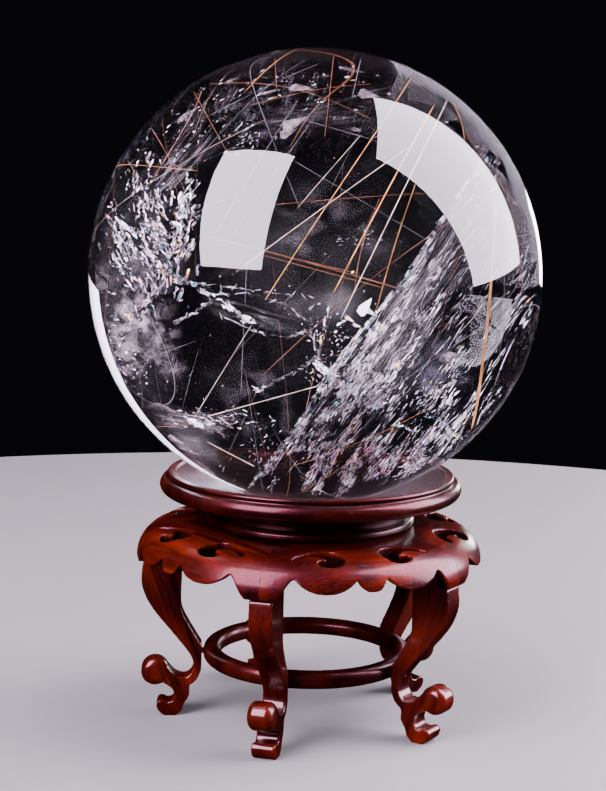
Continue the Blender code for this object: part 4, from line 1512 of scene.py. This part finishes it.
class QUARTZ_OT_apron(bpy.types.Operator):
    """Carve the five segments of the pierced apron"""
    bl_idname = "quartz.apron"
    bl_label = "Apron segments"

    def execute(self, context):
        wood = context.scene.wood_settings
        top = APRON_TOP / MM
        shoulder = arc(SHOULDER_AT, SHOULDER_ROUND, 76, 0, 14)
        bottom, under = TONGUE_BOTTOM / MM, PLATE_UNDERSIDE / MM
        profile = [(20.3, top - 0.3), (20.6, top), (27.0, top), *shoulder, (38.5, bottom), (35.7, bottom),
                   (35.7, under), (20.3, under)]
        half = SECTOR / 2 + OVERRUN
        turn = Matrix.Rotation(-half, 4, "Z")
        obj = trace([turn @ Vector(point) for point in in_metres(profile)], "apron_segment", closed=True)
        spin_about_z(obj, 36, -2 * half)
        take_away(obj, skirt_cutter())
        for side in (1, -1):
            outline = []
            for degrees, radius in smooth_closed(PIERCING, 5):
                angle = math.radians(degrees) * side
                outline.append((radius * MM * math.sin(angle), -radius * MM * math.cos(angle), 39 * MM))
            cutter = trace(outline, "piercing_cutter", closed=True)
            thicken_along(cutter, (0, 0, 8 * MM))
            take_away(obj, cutter)
            at = Matrix.Rotation(side * SECTOR / 2, 3, "Z") @ Vector((0, -DOWEL_AT, 0))
            bore(obj, at + Vector((0, 0, 39 * MM)), at + Vector((0, 0, 43.5 * MM)), DOWEL_RADIUS)
        carve_smooth(obj, wood.voxel, 3)
        for side in (1, -1):
            edit(obj)
            edge = side * (SECTOR / 2 - SEAM)
            outward = (side * math.cos(edge), side * math.sin(edge), 0)
            bpy.ops.mesh.bisect(plane_co=(0, 0, 0), plane_no=outward, use_fill=True, clear_outer=True)
            leave_edit()
        activate(obj)
        bpy.ops.object.shade_smooth_by_angle(angle=math.radians(50))
        for number, piece in enumerate(copies_round_axis(obj, "carved_apron", SECTOR / 2)):
            turn = (number + 0.5) * SECTOR
            knot = None
            if number == 0:
                turned = Matrix.Rotation(turn + KNOT_TURN, 3, "Z")
                knot = (turned @ (Vector(KNOT_PLACE) * MM), KNOT_RADIUS * MM)
            offset = (0.031 * number, 0.017 * number, 0.0)
            material = lacquered_wood(f"apron_rosewood_{number + 1}", turn, offset, worn=0.08, knot=knot,
                                      fret_shade=True)
            on_stand(piece, f"carved_apron_{number + 1}", material,
                     f"apron_segment_{number + 1}")
        return {"FINISHED"}


# The leg, in mm: its shoulder's height, and its knob's middle as (radius, height) with its size.
LEG_SHOULDER = 35.8
KNOB_AT = (34.5, 10.1)
KNOB_RADIUS, KNOB_WIDTH = 3.0, 5.9
RIM_ROUNDING = 0.6


def leg_outline():
    """(radius, height) points of a leg seen from its side, in mm."""
    front = smooth_run([(37.3, LEG_SHOULDER), (37.6, 34.4), (37.7, 30.7), (36.4, 27.0), (34.2, 23.7),
                        (31.7, 20.7), (28.3, 16.6), (26.3, 13.8), (25.8, 11.5), (26.5, 9.7), (28.0, 8.9),
                        (29.9, 9.5), (31.6, 11.2)], 4)
    knob = arc(KNOB_AT, 2.4, 125, -120, 20)
    toe = smooth_run([(31.6, 7.0), (30.5, 6.1), (30.1, 4.8), (30.5, 3.5), (31.7, 3.1), (33.2, 3.6),
                      (34.1, 2.6), (33.7, 1.1), (32.4, 0.0)], 4)
    heel = smooth_run([(29.6, 0.0), (28.4, 1.1), (27.8, 2.8), (26.7, 4.6), (26.7, 6.8), (25.0, 8.4),
                       (24.0, 10.8)], 4)
    back = smooth_run([(24.0, 16.4), (26.2, 20.0), (28.1, 23.4), (28.8, 26.0), (28.7, 31.0)], 4)
    return front + knob + toe + heel + back + [(28.6, 40.7), (35.4, 40.7), (35.4, LEG_SHOULDER)]


class QUARTZ_OT_legs(bpy.types.Operator):
    """Carve the five scrolled legs"""
    bl_idname = "quartz.legs"
    bl_label = "Legs"

    def execute(self, context):
        wood = context.scene.wood_settings
        side = LEG_THICKNESS / 2
        outline = [(-side, -radius * MM, height * MM) for radius, height in leg_outline()]
        obj = trace(outline, "leg", closed=True)
        thicken_along(obj, (LEG_THICKNESS, 0, 0))
        soften_rims(obj, RIM_ROUNDING * MM)
        bore(obj, Vector((0, -DOWEL_AT, 37.6 * MM)), Vector((0, -DOWEL_AT, 43 * MM)), DOWEL_RADIUS)
        bore(obj, Vector((0, -20 * MM, RING_Z)), Vector((0, -26.3 * MM, RING_Z)), PEG_RADIUS)
        deselect()
        bpy.ops.mesh.primitive_cylinder_add(
            vertices=40, radius=KNOB_RADIUS * MM, depth=KNOB_WIDTH * MM,
            location=(0, -KNOB_AT[0] * MM, KNOB_AT[1] * MM), rotation=(0, math.pi / 2, 0))
        knob = settle(context.object, "knob")
        edit(knob)
        bpy.ops.mesh.bevel(offset=1.5 * MM, segments=6, profile=0.5)
        leave_edit()
        activate(obj)
        knob.select_set(True)
        bpy.ops.object.join()
        carve_smooth(obj, wood.voxel, 3)
        for number, piece in enumerate(copies_round_axis(obj, "carved_leg")):
            offset = (0.023 * number, 0.041 * number, 0.0)
            material = lacquered_wood(f"leg_rosewood_{number + 1}", number * SECTOR, offset, lean=-0.35,
                                      tone=0.85, lacquer=0.45)
            on_stand(piece, f"carved_leg_{number + 1}", material, f"leg_{number + 1}")
        return {"FINISHED"}


def soften_rims(obj, width):
    """Round the edges that run round both flat sides of a board, below its shoulder."""
    activate(obj)
    bpy.ops.object.mode_set(mode="EDIT")
    bpy.ops.mesh.select_mode(type="EDGE")
    bpy.ops.mesh.select_all(action="DESELECT")
    leave_edit()
    for edge in obj.data.edges:
        one, two = (obj.data.vertices[index].co for index in edge.vertices)
        heights = (one.z, two.z)
        edge.select = abs(one.x - two.x) < 1e-7 and 0.01 * MM < max(heights) < (LEG_SHOULDER - 0.1) * MM
    bpy.ops.object.mode_set(mode="EDIT")
    bpy.ops.mesh.bevel(offset=width, segments=3, clamp_overlap=True)
    bpy.ops.mesh.select_mode(type="VERT")
    leave_edit()
    tidy_surface(obj)


class QUARTZ_OT_fixings(bpy.types.Operator):
    """Finish the dowels and pegs in plain wood"""
    bl_idname = "quartz.fixings"
    bl_label = "Dowels and pegs"

    def execute(self, context):
        material = raw_wood()
        for name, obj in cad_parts.items():
            if name.startswith(("leg_dowel", "ring_peg")):
                for place in obj.material_slots:
                    place.material = material
        return {"FINISHED"}


# ---------------------------------------------------------------- stage

# Lamps: name, direction from the ball and the lamp's own sideways direction, both as (right, up, towards the
# camera), distance, width and height in metres, swing in degrees, colour, radiance, and whether it shows
# through the ball.
LILAC_WHITE = (0.92, 0.80, 1.0)
LAMPS = [
    ("left_softbox", (-0.59, 0.473, 0.65), (0.73, 0.03, 0.68), 0.70, 0.44, 0.72, 14,
     LILAC_WHITE, 34.0, True),
    ("right_softbox", (0.829, 0.559, -0.007), (0.275, -0.173, 0.946), 0.70, 0.585, 0.97, 0,
     LILAC_WHITE, 28.0, True),
    ("back_strip", (0.46, 0.13, -0.88), (0.88, 0.0, 0.46), 0.50, 0.07, 0.09, 0,
     (1.0, 0.97, 1.0), 30.0, False),
]


def soft_lamp(name, towards, sideways, distance, width, height, swing, colour, radiance, shows_through):
    _, right, up, forward = view_axes()

    def in_space(direction):
        return (direction[0] * right + direction[1] * up - direction[2] * forward).normalized()

    z_axis = in_space(towards)
    x_axis = in_space(sideways)
    x_axis = (x_axis - z_axis * x_axis.dot(z_axis)).normalized()
    y_axis = z_axis.cross(x_axis)
    turned = Matrix((x_axis, y_axis, z_axis)).transposed() @ Matrix.Rotation(math.radians(swing), 3, "Y")
    light = bpy.data.lights.new(name, "AREA")
    light.shape = "RECTANGLE"
    light.size, light.size_y = width, height
    light.color = colour
    light.energy = radiance * math.pi * width * height
    lamp = bpy.data.objects.new(name, light)
    lamp.matrix_world = Matrix.Translation(BALL_CENTRE + z_axis * distance) @ turned.to_4x4()
    bpy.context.scene.collection.objects.link(lamp)
    lamp.visible_transmission = shows_through


def floor_material(colour):
    """A plain, faintly mottled table top."""
    material, tree = new_material("table_top")
    mottle = object_noise(tree, scale=35.0, detail=4.0)
    tone = ramp(tree, (-450, 0), [(0.3, tuple(c * 0.97 for c in colour)), (0.7, tuple(colour))])
    tree.links.new(mottle, tone.inputs[0])
    shader = node(tree, "ShaderNodeBsdfPrincipled", (-100, 0))
    set_inputs(shader, Roughness=0.5)
    tree.links.new(tone.outputs[0], shader.inputs["Base Color"])
    show(tree, shader)
    return material


TABLE_THICKNESS = 0.02


class QUARTZ_OT_stage(bpy.types.Operator):
    """Set the table top, the lamps, the backdrop and the camera"""
    bl_idname = "quartz.stage"
    bl_label = "Stage"

    def execute(self, context):
        stage = context.scene.stage_settings
        deselect()
        bpy.ops.mesh.primitive_cylinder_add(vertices=128, radius=stage.floor_radius, depth=TABLE_THICKNESS,
                                            location=(0, 0, -TABLE_THICKNESS / 2))
        table = settle(context.object, "table_top")
        apply_modifier(table, "BEVEL", width=0.003, segments=4)
        activate(table)
        bpy.ops.object.shade_smooth_by_angle(angle=math.radians(35))
        wear_material(table, floor_material(stage.floor_colour))
        table.visible_transmission = table.visible_glossy = False

        world = bpy.data.worlds.new("dim_room")
        context.scene.world = world
        world.use_nodes = True
        world.node_tree.nodes["Background"].inputs[0].default_value = (*stage.backdrop, 1.0)
        for lamp in LAMPS:
            soft_lamp(*lamp)

        place, right, up, forward = view_axes()
        camera = bpy.data.cameras.new("studio_camera")
        camera.sensor_fit = "HORIZONTAL"
        camera.sensor_width = 36.0
        camera.lens = stage.focal_length
        camera.clip_start = 0.01
        holder = bpy.data.objects.new("studio_camera", camera)
        holder.matrix_world = Matrix.Translation(place) @ Matrix((right, up, -forward)).transposed().to_4x4()
        context.scene.collection.objects.link(holder)
        context.scene.camera = holder
        return {"FINISHED"}


# ---------------------------------------------------------------- panel and registration

OPERATORS = (QUARTZ_OT_seat, QUARTZ_OT_stretcher, QUARTZ_OT_apron, QUARTZ_OT_legs, QUARTZ_OT_fixings,
             QUARTZ_OT_crystal_sphere, QUARTZ_OT_needles, QUARTZ_OT_great_veil, QUARTZ_OT_crackles,
             QUARTZ_OT_healed_cracks, QUARTZ_OT_stage)
SETTINGS = (("ball_settings", BallSettings), ("wood_settings", WoodSettings),
            ("stage_settings", StageSettings))


class QUARTZ_PT_panel(bpy.types.Panel):
    bl_label = "Quartz Ball"
    bl_idname = "QUARTZ_PT_panel"
    bl_space_type = "VIEW_3D"
    bl_region_type = "UI"
    bl_category = "Quartz Ball"

    def draw(self, context):
        for name, settings in SETTINGS:
            box = self.layout.box()
            for key in settings.__annotations__:
                box.prop(getattr(context.scene, name), key)
        column = self.layout.column()
        for operator in OPERATORS:
            column.operator(operator.bl_idname)


def register():
    for name, settings in SETTINGS:
        bpy.utils.register_class(settings)
        setattr(bpy.types.Scene, name, bpy.props.PointerProperty(type=settings))
    for kind in (*OPERATORS, QUARTZ_PT_panel):
        bpy.utils.register_class(kind)


def unregister():
    for kind in reversed((*OPERATORS, QUARTZ_PT_panel)):
        bpy.utils.unregister_class(kind)
    for name, settings in reversed(SETTINGS):
        delattr(bpy.types.Scene, name)
        bpy.utils.unregister_class(settings)


def main():
    register()
    for operator in OPERATORS:
        family, name = operator.bl_idname.split(".")
        getattr(getattr(bpy.ops, family), name)()


if __name__ == "__main__":
    main()
